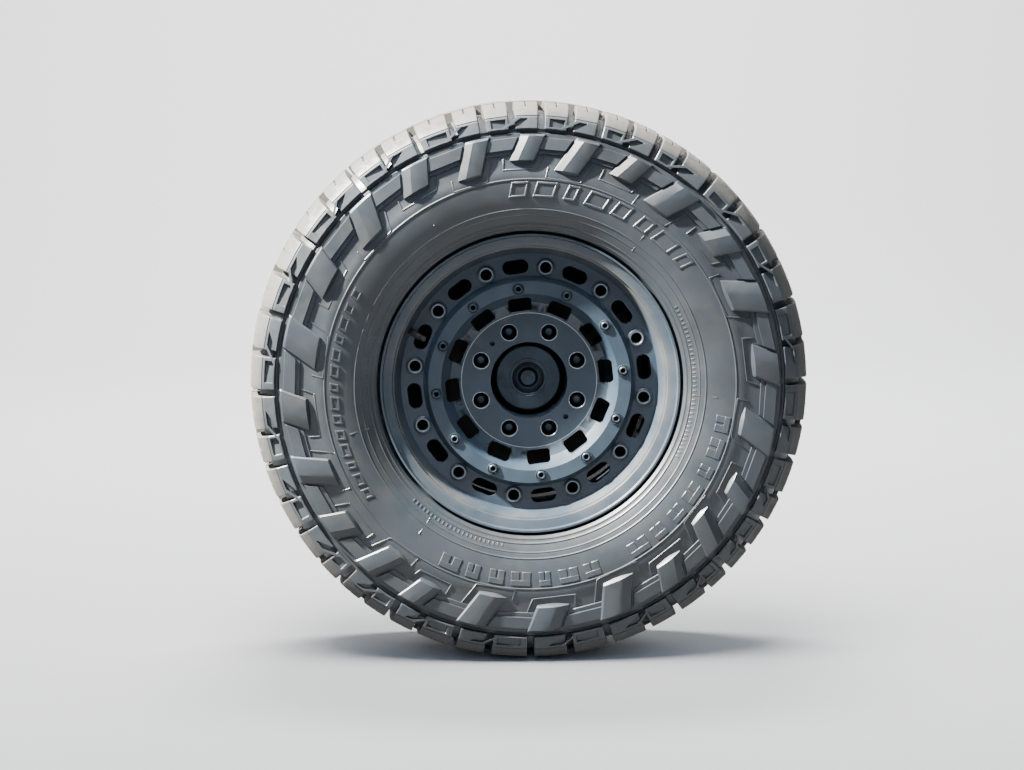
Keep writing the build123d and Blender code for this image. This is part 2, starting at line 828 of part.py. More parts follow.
def sector(inner, outer, half, middle=0.0):
    # closed sector of a ring about the rear direction
    low = radians(middle - half)
    high = radians(middle + half)
    centre = radians(middle)
    with BuildSketch(mode=Mode.PRIVATE) as piece:
        with BuildLine():
            ThreePointArc(
                (outer * cos(low), outer * sin(low)),
                (outer * cos(centre), outer * sin(centre)),
                (outer * cos(high), outer * sin(high)),
            )
            Line((outer * cos(high), outer * sin(high)), (inner * cos(high), inner * sin(high)))
            ThreePointArc(
                (inner * cos(high), inner * sin(high)),
                (inner * cos(centre), inner * sin(centre)),
                (inner * cos(low), inner * sin(low)),
            )
            Line((inner * cos(low), inner * sin(low)), (outer * cos(low), outer * sin(low)))
        make_face()
    return piece.sketch


pad_stack = lining + backing
for name, start in (
    ("brake_pad_outer", disc_front - pad_gap - pad_stack),
    ("brake_pad_inner", disc_back + pad_gap),
):
    with BuildPart() as brake_pad:
        with BuildSketch(facing(start)):
            add(sector(pad_inner_radius, pad_outer_radius, pad_half_angle))
        extrude(amount=-pad_stack)
    save(brake_pad, name)

pad_outer_back = disc_front - pad_gap - pad_stack
pad_inner_back = disc_back + pad_gap + pad_stack
post_angle = pad_half_angle + pad_end_gap + bracket_post / 2
with BuildPart() as brake_caliper:
    with BuildSketch(facing(finger_front)):
        add(sector(pad_inner_radius + 6, caliper_outer, caliper_half_angle))
    extrude(amount=-(pad_outer_back - finger_front))
    with BuildSketch(facing(finger_front)):
        add(sector(caliper_inner, caliper_outer, caliper_half_angle))
    extrude(amount=-(caliper_back - finger_front))
    with BuildSketch(facing(pad_inner_back)):
        add(sector(pad_inner_radius + 2, caliper_outer, caliper_half_angle))
    extrude(amount=-(caliper_back - pad_inner_back))
    with BuildSketch(facing(caliper_lug_place)):
        add(sector(guide_circle - 10, caliper_outer, post_angle + bracket_post / 2))
        for side in (-1, 1):
            with PolarLocations(guide_circle, 1, side * post_angle):
                Circle(guide_radius, mode=Mode.SUBTRACT)
    extrude(amount=-caliper_lug_wall)
save(brake_caliper, "brake_caliper")

with BuildPart() as caliper_bracket:
    with BuildSketch(facing(knuckle_face)):
        add(sector(bracket_inner, ear_circle + ear_radius, ear_angle + 8))
        for side in (-1, 1):
            add(sector(bracket_inner, caliper_outer, bracket_post / 2, side * post_angle))
        pad_opening = sector(pad_inner_radius - 1, caliper_outer, pad_half_angle + pad_end_gap)
        add(pad_opening, mode=Mode.SUBTRACT)
        for side in (-1, 1):
            with PolarLocations(ear_circle, 1, side * ear_angle):
                Circle(ear_bolt, mode=Mode.SUBTRACT)
    extrude(amount=bracket_wall)
    with BuildSketch(facing(bracket_front)):
        for side in (-1, 1):
            add(sector(caliper_inner, caliper_outer, bracket_post / 2, side * post_angle))
    extrude(amount=-(knuckle_face - bracket_front))
    with BuildSketch(facing(bracket_front)):
        for side in (-1, 1):
            add(sector(pad_inner_radius, caliper_outer, bracket_post / 2, side * post_angle))
    extrude(amount=-16)
save(caliper_bracket, "caliper_bracket")

with BuildPart() as bracket_bolts:
    with BuildSketch(facing(knuckle_face - bracket_wall)):
        for side in (-1, 1):
            with PolarLocations(ear_circle, 1, side * ear_angle):
                Circle(ear_bolt)
    extrude(amount=-(bracket_wall + ear_wall))
    with BuildSketch(facing(knuckle_face + ear_wall)):
        for side in (-1, 1):
            with PolarLocations(ear_circle, 1, side * ear_angle):
                RegularPolygon(1.5 * ear_bolt, 6, major_radius=False)
    extrude(amount=-bolt_head_height)
save(bracket_bolts, "bracket_bolts")

with BuildPart() as guide_pins:
    with BuildSketch(facing(knuckle_face)):
        for side in (-1, 1):
            with PolarLocations(guide_circle, 1, side * post_angle):
                Circle(guide_radius)
    extrude(amount=-(caliper_lug_place + caliper_lug_wall - knuckle_face))
    with BuildSketch(facing(caliper_lug_place + caliper_lug_wall)):
        for side in (-1, 1):
            with PolarLocations(guide_circle, 1, side * post_angle):
                RegularPolygon(1.6 * guide_radius, 6, major_radius=False)
    extrude(amount=-5)
save(guide_pins, "guide_pins")

shield_bore = bearing_flange + shield_seat
with BuildPart() as dust_shield:
    with BuildSketch(section()):
        with BuildLine():
            Polyline(
                (shield_bore, knuckle_face),
                (shield_bore + shield_wall, knuckle_face),
                (shield_bore + shield_wall, shield_front + shield_wall),
                (shield_radius, shield_front + shield_wall),
                (shield_radius, shield_front - shield_lip),
                (shield_radius - shield_wall, shield_front - shield_lip),
                (shield_radius - shield_wall, shield_front),
                (shield_bore, shield_front),
                close=True,
            )
        make_face()
    revolve(axis=spin)
    with BuildSketch(facing(shield_front - 1)):
        add(sector(bearing_flange + 8, shield_notch, ear_angle + shield_opening))
    extrude(amount=-shield_wall - 2, mode=Mode.SUBTRACT)
save(dust_shield, "dust_shield")
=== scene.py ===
import json
import math
import bmesh
import bpy
import numpy as np
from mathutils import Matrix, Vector

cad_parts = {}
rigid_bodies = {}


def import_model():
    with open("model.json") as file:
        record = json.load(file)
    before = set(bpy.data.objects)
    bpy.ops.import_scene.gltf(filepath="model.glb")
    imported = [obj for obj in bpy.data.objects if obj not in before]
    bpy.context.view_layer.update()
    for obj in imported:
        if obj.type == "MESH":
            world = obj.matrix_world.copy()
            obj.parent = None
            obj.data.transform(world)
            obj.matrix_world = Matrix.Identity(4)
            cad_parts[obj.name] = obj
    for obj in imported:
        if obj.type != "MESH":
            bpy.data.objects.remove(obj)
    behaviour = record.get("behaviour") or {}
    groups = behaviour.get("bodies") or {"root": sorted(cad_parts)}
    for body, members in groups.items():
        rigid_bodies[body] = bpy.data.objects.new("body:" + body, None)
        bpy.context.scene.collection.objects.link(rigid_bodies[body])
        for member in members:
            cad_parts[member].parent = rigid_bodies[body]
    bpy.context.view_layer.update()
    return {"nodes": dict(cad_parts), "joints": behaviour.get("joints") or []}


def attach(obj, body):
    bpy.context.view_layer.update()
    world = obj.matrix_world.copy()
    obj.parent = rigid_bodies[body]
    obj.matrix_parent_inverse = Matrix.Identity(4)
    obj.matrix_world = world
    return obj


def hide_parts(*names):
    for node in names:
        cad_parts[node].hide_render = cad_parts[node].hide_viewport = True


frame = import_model()
nodes = frame["nodes"]
axle = np.array(frame["joints"][0]["pos_m"]) * 1000.0  # middle of the wheel's mounting face, mm
mm = 0.001  # metres in a millimetre
print("frame loaded")


# Sizes are in mm and turns in degrees. A turn runs clockwise from the top, seen from outside, a radius
# starts at the axle, a place is how far inboard of the mounting face something lies, and the tyre's half
# widths start at its own middle.

# small helpers for shapes

# Wheel coordinates to metres: x = r sin a and z = r cos a from the axle, y = place inboard of the face.
def wheelPoints(turn, radius, place):
    angle = np.radians(turn)
    x = axle[0] + radius * np.sin(angle)
    z = axle[2] + radius * np.cos(angle)
    return np.stack(np.broadcast_arrays(x, axle[1] + place, z), -1) * mm


# Quads of a grid whose point (i, j) has index i * columns + j, joined round where it closes.
def gridQuads(rows, columns, closeRows=False, closeColumns=False):
    i = np.arange(rows if closeRows else rows - 1)[:, None]
    j = np.arange(columns if closeColumns else columns - 1)[None, :]
    below = (i + 1) % rows
    right = (j + 1) % columns
    corner = [i * columns + j, i * columns + right, below * columns + right, below * columns + j]
    return np.stack(corner, -1).reshape(-1, 4)


# The same quads for each of several grids, whose points follow one another.
def repeatQuads(quads, count, pointsEach):
    return (quads[None] + np.arange(count)[:, None, None] * pointsEach).reshape(-1, 4)


# A closed outline of (radius, place) carried round the axle: its points and its faces.
def revolved(outline, columns):
    turns = np.arange(columns) * 360.0 / columns
    points = wheelPoints(turns[None, :], outline[:, 0][:, None], outline[:, 1][:, None])
    return points, gridQuads(len(outline), columns, True, True).tolist()


# One number for each point of a mesh: painted shade above 0, a painted highlight below 0.
def addShade(mesh, shade):
    layer = mesh.attributes.new("shade", "FLOAT", "POINT")
    layer.data.foreach_set("value", np.ascontiguousarray(shade, dtype=np.float32).ravel())


# A piece from points in metres, in any grid, and faces that count them row after row.
def addPiece(name, points, faces, body, material, replaced=(), smooth=30.0, shade=None):
    mesh = bpy.data.meshes.new(name)
    mesh.from_pydata(points.reshape(-1, 3), [], faces)
    mesh.validate()
    if shade is not None:
        addShade(mesh, shade)
    piece = bpy.data.objects.new(name, mesh)
    bpy.context.scene.collection.objects.link(piece)
    finishPiece(piece, body, material, replaced, smooth)


# Material, smooth faces up to an angle, and what the frame has to know of the piece.
def finishPiece(piece, body, material, replaced, smooth):
    mesh = piece.data
    mesh.materials.clear()
    mesh.materials.append(material)
    mesh.shade_smooth()
    mesh.set_sharp_from_angle(angle=math.radians(smooth))
    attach(piece, body)
    if replaced:
        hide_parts(*replaced)


# small helpers for materials

# Hex sRGB to a linear colour: (c + 0.055) / 1.055 to the power 2.4, or c / 12.92 when dark.
def toLinear(code):
    parts = [int(code[k:k + 2], 16) / 255 for k in (0, 2, 4)]
    return tuple(c / 12.92 if c <= 0.04045 else ((c + 0.055) / 1.055) ** 2.4 for c in parts) + (1.0,)


# Sets a node's inputs: a dictionary names them, a list follows the order of the open ones. Another node's
# output is joined and a hex code turns linear.
def setInputs(tree, node, inputs):
    if isinstance(inputs, dict):
        sockets = [node.inputs[key] for key in inputs]
        values = inputs.values()
    else:
        sockets = [socket for socket in node.inputs if socket.enabled]
        values = inputs
    for socket, value in zip(sockets, values):
        if isinstance(value, bpy.types.NodeSocket):
            tree.links.new(value, socket)
        else:
            socket.default_value = toLinear(value) if isinstance(value, str) else value


# Adds a shader node with its attributes and inputs. Gives the named output, or else the first open one.
def addNode(tree, kind, inputs, output=None, **attributes):
    node = tree.nodes.new("ShaderNode" + kind)
    for key, value in attributes.items():
        setattr(node, key, value)
    setInputs(tree, node, inputs)
    if output:
        return node.outputs[output]
    return [socket for socket in node.outputs if socket.enabled][0]


# A new material with an empty shader, and the coordinates that its patterns are laid out in.
def startMaterial(name):
    material = bpy.data.materials.new(name)
    material.use_nodes = True
    tree = material.node_tree
    tree.nodes.clear()
    output = tree.nodes.new("ShaderNodeOutputMaterial")
    shader = tree.nodes.new("ShaderNodeBsdfPrincipled")
    tree.links.new(shader.outputs[0], output.inputs[0])
    coords = addNode(tree, "TexCoord", [], "Object")
    return material, tree, shader, coords


# Distance from the wheel's axis in metres: the length of (x, 0, z) measured from the axle.
def axleRadius(tree, coords):
    shift = addNode(tree, "VectorMath", [coords, tuple(axle * mm)], operation="SUBTRACT")
    flat = addNode(tree, "VectorMath", [shift, (1, 0, 1)], operation="MULTIPLY")
    return addNode(tree, "VectorMath", [flat], operation="LENGTH")


# Materials. In the dictionaries a pattern is a noise: cells per metre, detail and roughness. A range holds
# the two values of a pattern, or of a radius in mm, between which its effect grows, and what each gives.

# Moulded tyre rubber: satin black that greys and browns with age, dusty where it meets the ground.
rubberLook = {
    "base": "161a1d",  # carbon black in the rubber
    "light": "1f262c",
    "brown": "24211f",  # oxidised rubber on the side wall
    "haze": "282d30",  # thin grey dust film on the side
    "dust": "38352f",  # dry clay dust on the faces that touched the ground
    "roughness": 0.42,
    "dustRoughness": 0.9,
    "ior": 1.52,
    "patches": (7.0, 5.0, 0.55),  # about 140 mm across
    "streaks": (34.0, 7.0, 0.65),  # about 30 mm
    "speckles": (90.0, 9.0, 0.72),  # about 11 mm
    "grain": (900.0, 3.0, 0.55),  # mould grain about 1.1 mm, coarser than the real one so that it shows
    "lightRange": (0.35, 0.7),
    "brownRange": (0.5, 0.8, 0.0, 0.55),
    "hazeMm": (392.0, 404.0),
    "hazeMost": 0.55,
    "hazeRange": (0.3, 0.6, 0.3, 1.0),
    "dustMm": (416.0, 430.0),
    "dustMost": 0.9,
    "dustRange": (0.3, 0.56, 0.25, 1.0),
    "streakRoughness": (0.3, 0.75, -0.05, 0.1),
    "bump": {"Strength": 0.3, "Distance": 0.0004},
}


# Colours laid over one another: light patches, brown streaks, haze = radius range * streaks, and
# dust = radius range * speckles. Roughness = dust's own share of it + what the streaks add.
def makeRubber():
    look = rubberLook
    material, tree, shader, coords = startMaterial("TyreRubber")
    patches = addNode(tree, "TexNoise", [coords, *look["patches"]])
    streaks = addNode(tree, "TexNoise", [coords, *look["streaks"]])
    speckles = addNode(tree, "TexNoise", [coords, *look["speckles"]])
    grain = addNode(tree, "TexNoise", [coords, *look["grain"]])
    radius = axleRadius(tree, coords)

    share = addNode(tree, "MapRange", [patches, *look["lightRange"]])
    colour = addNode(tree, "Mix", [share, look["base"], look["light"]], data_type="RGBA")
    share = addNode(tree, "MapRange", [streaks, *look["brownRange"]])
    colour = addNode(tree, "Mix", [share, colour, look["brown"]], data_type="RGBA")

    first, last = look["hazeMm"]
    reach = addNode(tree, "MapRange", [radius, first * mm, last * mm, 0.0, look["hazeMost"]])
    broken = addNode(tree, "MapRange", [streaks, *look["hazeRange"]])
    haze = addNode(tree, "Math", [reach, broken], operation="MULTIPLY")
    colour = addNode(tree, "Mix", [haze, colour, look["haze"]], data_type="RGBA")

    first, last = look["dustMm"]
    reach = addNode(tree, "MapRange", [radius, first * mm, last * mm, 0.0, look["dustMost"]])
    broken = addNode(tree, "MapRange", [speckles, *look["dustRange"]])
    dust = addNode(tree, "Math", [reach, broken], operation="MULTIPLY")
    colour = addNode(tree, "Mix", [dust, colour, look["dust"]], data_type="RGBA")

    dusty = addNode(tree, "MapRange", [dust, 0.0, 1.0, look["roughness"], look["dustRoughness"]])
    streaky = addNode(tree, "MapRange", [streaks, *look["streakRoughness"]])
    rough = addNode(tree, "Math", [dusty, streaky], operation="ADD")
    bump = addNode(tree, "Bump", {"Height": grain, **look["bump"]})
    setInputs(tree, shader, {"Base Color": colour, "Roughness": rough, "IOR": look["ior"], "Normal": bump})
    return material


# Painted shade and highlight from the mesh's shade values: towards 1 they darken and dull sockets, bores and
# the wheel's inner side as painted shade, and towards -1 they paint a highlight of light metal on edges.
shadeAndHighlightLook = {
    # colour of the painted shade, and light metal colour of the painted highlight
    "black": "030304",
    "paintedHighlight": "a9aeb0",
    "dullness": 0.6,  # added to the roughness
    "gloss": 0.5,  # specular level where nothing is shaded
}


# Joins colour, roughness and metal to the shader: roughness + dark * dullness, gloss * (1 - dark) and
# metallic * (1 - dark).
def shadeAndHighlight(tree, shader, colour, rough, metallic):
    look = shadeAndHighlightLook
    shade = addNode(tree, "Attribute", [], "Fac", attribute_name="shade")
    # The first map gives how much painted shade (with road grime on the wheel's inner side) darkens the
    # colour, the second how much painted highlight lightens it.
    dark = addNode(tree, "MapRange", [shade, 0.0, 1.0])
    highlit = addNode(tree, "MapRange", [shade, 0.0, -1.0])
    shadedColour = addNode(tree, "Mix", [dark, colour, look["black"]], data_type="RGBA")
    highlitColour = addNode(tree, "Mix", [highlit, shadedColour, look["paintedHighlight"]], data_type="RGBA")
    dull = addNode(tree, "Math", [dark, look["dullness"]], operation="MULTIPLY")
    unshaded = addNode(tree, "MapRange", [dark, 0.0, 1.0, 1.0, 0.0])
    setInputs(tree, shader, {
        "Base Color": highlitColour,
        "Roughness": addNode(tree, "Math", [rough, dull], operation="ADD"),
        "Specular IOR Level": addNode(tree, "MapRange", [dark, 0.0, 1.0, look["gloss"], 0.0]),
        "Metallic": addNode(tree, "Math", [unshaded, metallic], operation="MULTIPLY"),
    })


# Satin powder coat on cast aluminium: fine orange peel, a thin even haze of road dust, clay on the lip, dull
# grime and painted shade inside.
paintLook = {
    "base": "1b2630",
    "light": "36444f",
    "clay": "4b463e",  # dry clay caught on the lip
    "roughness": 0.4,
    "ior": 1.5,
    "haze": (14.0, 8.0, 0.6),  # about 70 mm across
    "specks": (260.0, 6.0, 0.7),  # about 4 mm
    "peel": (700.0, 2.0, 0.55),  # orange peel about 1.4 mm
    "hazeRange": (0.4, 0.75, 0.0, 0.3),
    "specksRange": (0.62, 0.75, 0.0, 0.35),
    "clayMm": (203.5, 212.5),
    "clayRange": (0.35, 0.6, 0.1, 0.5),
    "clayEndMm": (218.0, 224.0),
    "clayEnd": (0.8, 0.3),  # share of the clay before and after that radius
    "sheenRange": (0.3, 0.75),
    "sheen": (-0.04, 0.05),  # change of the roughness over that range
    "bump": {"Strength": 0.1, "Distance": 0.0002},
}


# Haze and specks lighten the paint; clay = radius range * haze * end range.
def makePaint():
    look = paintLook
    material, tree, shader, coords = startMaterial("SatinBlackPowderCoat")
    haze = addNode(tree, "TexNoise", [coords, *look["haze"]])
    specks = addNode(tree, "TexNoise", [coords, *look["specks"]])
    peel = addNode(tree, "TexNoise", [coords, *look["peel"]])
    radius = axleRadius(tree, coords)

    share = addNode(tree, "MapRange", [haze, *look["hazeRange"]])
    colour = addNode(tree, "Mix", [share, look["base"], look["light"]], data_type="RGBA")
    share = addNode(tree, "MapRange", [specks, *look["specksRange"]])
    colour = addNode(tree, "Mix", [share, colour, look["light"]], data_type="RGBA")

    first, last = look["clayMm"]
    reach = addNode(tree, "MapRange", [radius, first * mm, last * mm])
    broken = addNode(tree, "MapRange", [haze, *look["clayRange"]])
    clay = addNode(tree, "Math", [reach, broken], operation="MULTIPLY")
    first, last = look["clayEndMm"]
    end = addNode(tree, "MapRange", [radius, first * mm, last * mm, *look["clayEnd"]])
    clay = addNode(tree, "Math", [clay, end], operation="MULTIPLY")
    colour = addNode(tree, "Mix", [clay, colour, look["clay"]], data_type="RGBA")

    sheen = [look["roughness"] + change for change in look["sheen"]]
    rough = addNode(tree, "MapRange", [haze, *look["sheenRange"], *sheen])
    shadeAndHighlight(tree, shader, colour, rough, 0.0)
    bump = addNode(tree, "Bump", {"Height": peel, **look["bump"]})
    setInputs(tree, shader, {"IOR": look["ior"], "Normal": bump})
    return material


# Machined or plated steel and iron: metallic, with fine grain and patchy oxide.
metalLook = {
    "patches": (30.0, 6.0, 0.55),  # about 33 mm across
    "grain": (3.0, 0.55),  # detail and roughness; its size is the metal's own
    "stainRange": (0.45, 0.75),
    "sheenRange": (0.3, 0.8),
    "sheen": (-0.07, 0.12),  # change of the roughness over that range
    "bump": {"Strength": 0.15, "Distance": 0.0002},
}


# The stain covers the metal where the patches are strong; grain cells per metre = 1000 / their size in mm.
def makeMetal(name, base, stain, roughness, grainMm=1.2, metallic=1.0):
    look = metalLook
    material, tree, shader, coords = startMaterial(name)
    patches = addNode(tree, "TexNoise", [coords, *look["patches"]])
    grain = addNode(tree, "TexNoise", [coords, 1000.0 / grainMm, *look["grain"]])
    share = addNode(tree, "MapRange", [patches, *look["stainRange"]])
    colour = addNode(tree, "Mix", [share, base, stain], data_type="RGBA")
    sheen = [roughness + change for change in look["sheen"]]
    rough = addNode(tree, "MapRange", [patches, *look["sheenRange"], *sheen])
    shadeAndHighlight(tree, shader, colour, rough, metallic)
    setInputs(tree, shader, {"Normal": addNode(tree, "Bump", {"Height": grain, **look["bump"]})})
    return material


# Painted castings and moulded parts: coarse sand or mould texture, and rust or dust blooming through.
castingLook = {
    "bloom": (26.0, 8.0, 0.65),  # about 40 mm across
    "sand": (520.0, 4.0, 0.55),  # sand grain about 2 mm
    "bloomRange": (0.55, 0.72),
    "bloomRoughness": 0.85,
    "bump": {"Strength": 0.5, "Distance": 0.0006},
}


# The second colour and its roughness come up where the bloom is strong.
def makeCasting(name, base, bloomed, roughness):
    look = castingLook
    material, tree, shader, coords = startMaterial(name)
    pattern = addNode(tree, "TexNoise", [coords, *look["bloom"]])
    sand = addNode(tree, "TexNoise", [coords, *look["sand"]])
    bloom = addNode(tree, "MapRange", [pattern, *look["bloomRange"]])
    setInputs(tree, shader, {
        "Base Color": addNode(tree, "Mix", [bloom, base, bloomed], data_type="RGBA"),
        "Roughness": addNode(tree, "MapRange", [bloom, 0.0, 1.0, roughness, look["bloomRoughness"]]),
        "Normal": addNode(tree, "Bump", {"Height": sand, **look["bump"]}),
    })
    return material


rubber = makeRubber()
blackPaint = makePaint()
# oiled black oxide on turned steel: a dark film that lets half the metal through
blackSteel = makeMetal("BlackOxideSteel", "353f48", "20262c", 0.34, metallic=0.6)
# zinc plate gone dull, yellowish grey with dirt in its patches
plated = makeMetal("ZincPlatedSteel", "7b776c", "4f493f", 0.42)
# turned and ground steel with a brown tint of old oil
machined = makeMetal("TurnedSteel", "3f464d", "3a332d", 0.42)
# grey iron of the disc: dark, with rust in its patches and a coarser grain
greyIron = makeMetal("GreyIron", "45423f", "4a3326", 0.5, grainMm=2.0)
# iron cast in sand and painted black, with rust coming through
casting = makeCasting("PaintedIronCasting", "1f2022", "5b3825", 0.55)
# pressed friction lining: dull brown grey
lining = makeCasting("BrakeLining", "33302d", "4a3a2c", 0.8)
# pressed sheet steel, painted, a little rust
shieldSteel = makeCasting("ShieldSteel", "1c1d1f", "3d2f26", 0.6)
# moulded rubber of the valve, dusty
valveRubber = makeCasting("ValveRubber", "151515", "232120", 0.6)
# moulded nylon of the valve's cap
capPlastic = makeCasting("CapPlastic", "0f0f10", "1a1a1a", 0.5)
print("materials made")


# tyre: casing, then blocks and lugs that stand on it

tyreShape = {
    "middle": -12.0,  # place of the tyre's middle
    "radius": 442.0,
    "columns": 360,
    "smooth": 40.0,
    # radius and half width of the bare side wall, from its widest place outward
    "wall": [(330.0, 155.5), (345.0, 152.6), (393.0, 148.0), (399.0, 151.0), (419.0, 146.0)],
    "wallPower": 2.4,  # how full the wall is between the bead and its widest place
    "beadHalf": 133.8,
    "beadRadius": 240.5,
    # radius, height and width of each raised line on the wall
    "rings": [(322.0, 0.9, 1.0), (275.0, 0.8, 1.0), (265.5, 0.6, 0.8), (252.0, 0.9, 1.2), (245.0, 0.8, 1.6)],
    # stretches of the wall: from, to, number of points
    "stretches": [(241.5, 280.0, 64), (280.0, 318.0, 10), (318.0, 326.0, 14), (326.0, 392.8, 14)],
    # the rest of the outline, as radius and half width
    "groove": [(393.2, 147.6), (393.8, 142.6), (396.0, 141.6), (398.4, 142.0), (399.2, 143.0)],
    "floor": [(404.0, 140.5), (412.0, 134.0), (420.0, 124.0), (424.6, 112.0), (425.8, 60.0), (425.8, 0.0)],
    "foot": [(231.0, 96.0), (218.4, 98.8), (218.3, 106.0), (218.3, 119.0), (219.5, 120.4), (228.0, 120.6),
             (236.0, 121.0), (239.0, 126.0), (240.3, 131.5)],
    "inside": [(416.0, 0.0), (416.0, 60.0), (416.0, 98.0), (396.0, 130.0), (370.0, 138.0), (330.0, 145.0),
               (296.0, 139.0), (262.0, 127.0), (246.0, 113.0)],
}
# short, middle and long pitches of the tread, in their order round the tyre, and the first lug's turn
pitchShape = {"order": "SSMMLLMSSMLLMSSMMLLLMMSS", "S": 12.8, "M": 15.2, "L": 17.2, "start": 11.9}
pitches = np.array([pitchShape[kind] for kind in pitchShape["order"]])
pitches = pitches * 360.0 / pitches.sum()  # degrees from each lug to the next
lugTurns = pitchShape["start"] + np.concatenate([[0.0], np.cumsum(pitches)[:-1]])
lugCount = len(pitches)
lugIsLong = np.arange(lugCount) % 2 == 0


# Half width of the bare side wall: widest - (widest - bead) * distance share to the power wallPower, then
# straight falls outward of the widest place.
def wallHalf(radius):
    wall = np.array(tyreShape["wall"])
    share = np.clip((wall[0, 0] - radius) / (wall[0, 0] - tyreShape["beadRadius"]), 0, 1)
    inner = wall[0, 1] - (wall[0, 1] - tyreShape["beadHalf"]) * share ** tyreShape["wallPower"]
    return np.where(radius < wall[0, 0], inner, np.interp(radius, wall[:, 0], wall[:, 1]))


# Raised lines on the side wall: each adds its height times exp(-(distance / width) to the 4th).
def ringBumps(radius):
    total = 0 * radius
    for place, height, width in tyreShape["rings"]:
        total = total + height * np.exp(-((radius - place) / width) ** 4)
    return total


# Revolved casing: half an outline of (radius, half width) from inside over the bead to the tread's floor, its
# mirror image, and both carried round the axle.
def makeCasing():
    look = tyreShape
    wall = np.unique(np.concatenate([np.linspace(*stretch) for stretch in look["stretches"]]))
    side = np.stack([wall, wallHalf(wall) + ringBumps(wall)], -1)
    half = np.concatenate([look["inside"], look["foot"], side, look["groove"], look["floor"]])
    outline = np.concatenate([half, half[::-1][1:-1] * [1, -1]])
    outline[:, 1] = look["middle"] - outline[:, 1]
    points, faces = revolved(outline, look["columns"])
    addPiece("tyre_casing", points, faces, "wheel", rubber, ("tyre",), look["smooth"])


# One piece from many small grids: turn, radius and half width are arrays (count, rows, columns). The inner
# side of the tyre carries the same grids turned half round about the upright.
def gridPieces(name, turn, radius, half, smooth=30.0):
    count, rows, columns = turn.shape
    quads = repeatQuads(gridQuads(rows, columns), count, rows * columns)
    points = []
    faces = []
    for index, side in enumerate((1, -1)):
        points.append(wheelPoints(turn * side, radius, tyreShape["middle"] - half * side).reshape(-1, 3))
        faces.append(quads[:, ::side] + index * turn.size)
    faces = np.concatenate(faces).tolist()
    addPiece(name, np.concatenate(points), faces, "wheel", rubber, (), smooth)


makeCasing()
print("tyre casing made")

blockShape = {
    "gap": 12.0,  # width of the gaps between shoulder blocks
    "measured": 432.0,  # radius at which gaps and blocks have their widths
    "depth": 15.0,
    "core": (396.0, 104.0),  # radius and half width that the heights run away from
    # radius, half width and share of the depth, from the side wall's foot over the shoulder to the tread's
    "outline": [(399.6, 150.9, -0.1), (399.6, 150.9, 0.95), (401.0, 150.7, 1), (402.8, 150.2, 1),
                (403.8, 149.9, 1), (415.0, 147.2, 1), (416.0, 146.9, 1), (417.6, 146.5, 1), (418.8, 145.8, 1),
                (419.4, 144.6, 0.93), (420.6, 144.0, 1), (426.0, 139.6, 1), (431.6, 134.6, 1),
                (434.2, 131.0, 1), (436.2, 122.0, 1), (438.8, 102.0, 1), (440.8, 80.0, 0.99),
                (441.4, 70.4, 0.93), (441.4, 70.4, -0.1)],
    # distance in from the gap and share of the depth there
    "edges": [(-1.5, -0.1), (0.0, 0.95), (0.7, 0.99), (2.0, 1.0)],
    "recess": 4.2,  # how deep the side face is cut back
    "recessRows": (4, 5),  # rows of the outline that are cut back
    "recessFoot": 403.0,  # radius where a slanted step starts, and its height
    "recessTall": 13.0,
    "pocketStart": 0.2,  # shares of the width
    "stepStart": 0.06,
    "stepLean": 0.5,  # added from the step's foot to its top
    "recessEnd": 0.9,
    "recessEdge": 1.2,  # mm
    # share of the recess in each column: four edges, five columns between, four edges
    "pocketCut": (0, 0, 0, 0, 0, 0.45, 0.75, 1.0, 0, 0, 0, 0, 0),
    "stepCut": (0, 0.9, 0.9, 0.9, 0.9, 0, 0, 0, 0, 0, 0, 0, 0),
    "cutDown": 0.32,  # parts of the recess toward the axle and toward the tyre's middle
    "cutIn": 0.95,
    "sipeDepth": 5.0,
    "sipeRow": 13,  # row of the outline where the sipe starts
    "sipeLines": (-2.0, -0.7, 0.0, 0.7, 2.0),
    "sipeShares": (0.6, 1.0, 0.6),
}


# Turns where blocks start and end: half a gap after the middle of one gap and half a gap before the next one.
def betweenGaps(gapTurns):
    halfGap = math.degrees(blockShape["gap"] / 2 / blockShape["measured"])
    return gapTurns + halfGap, np.append(gapTurns[1:], gapTurns[0] + 360.0) - halfGap


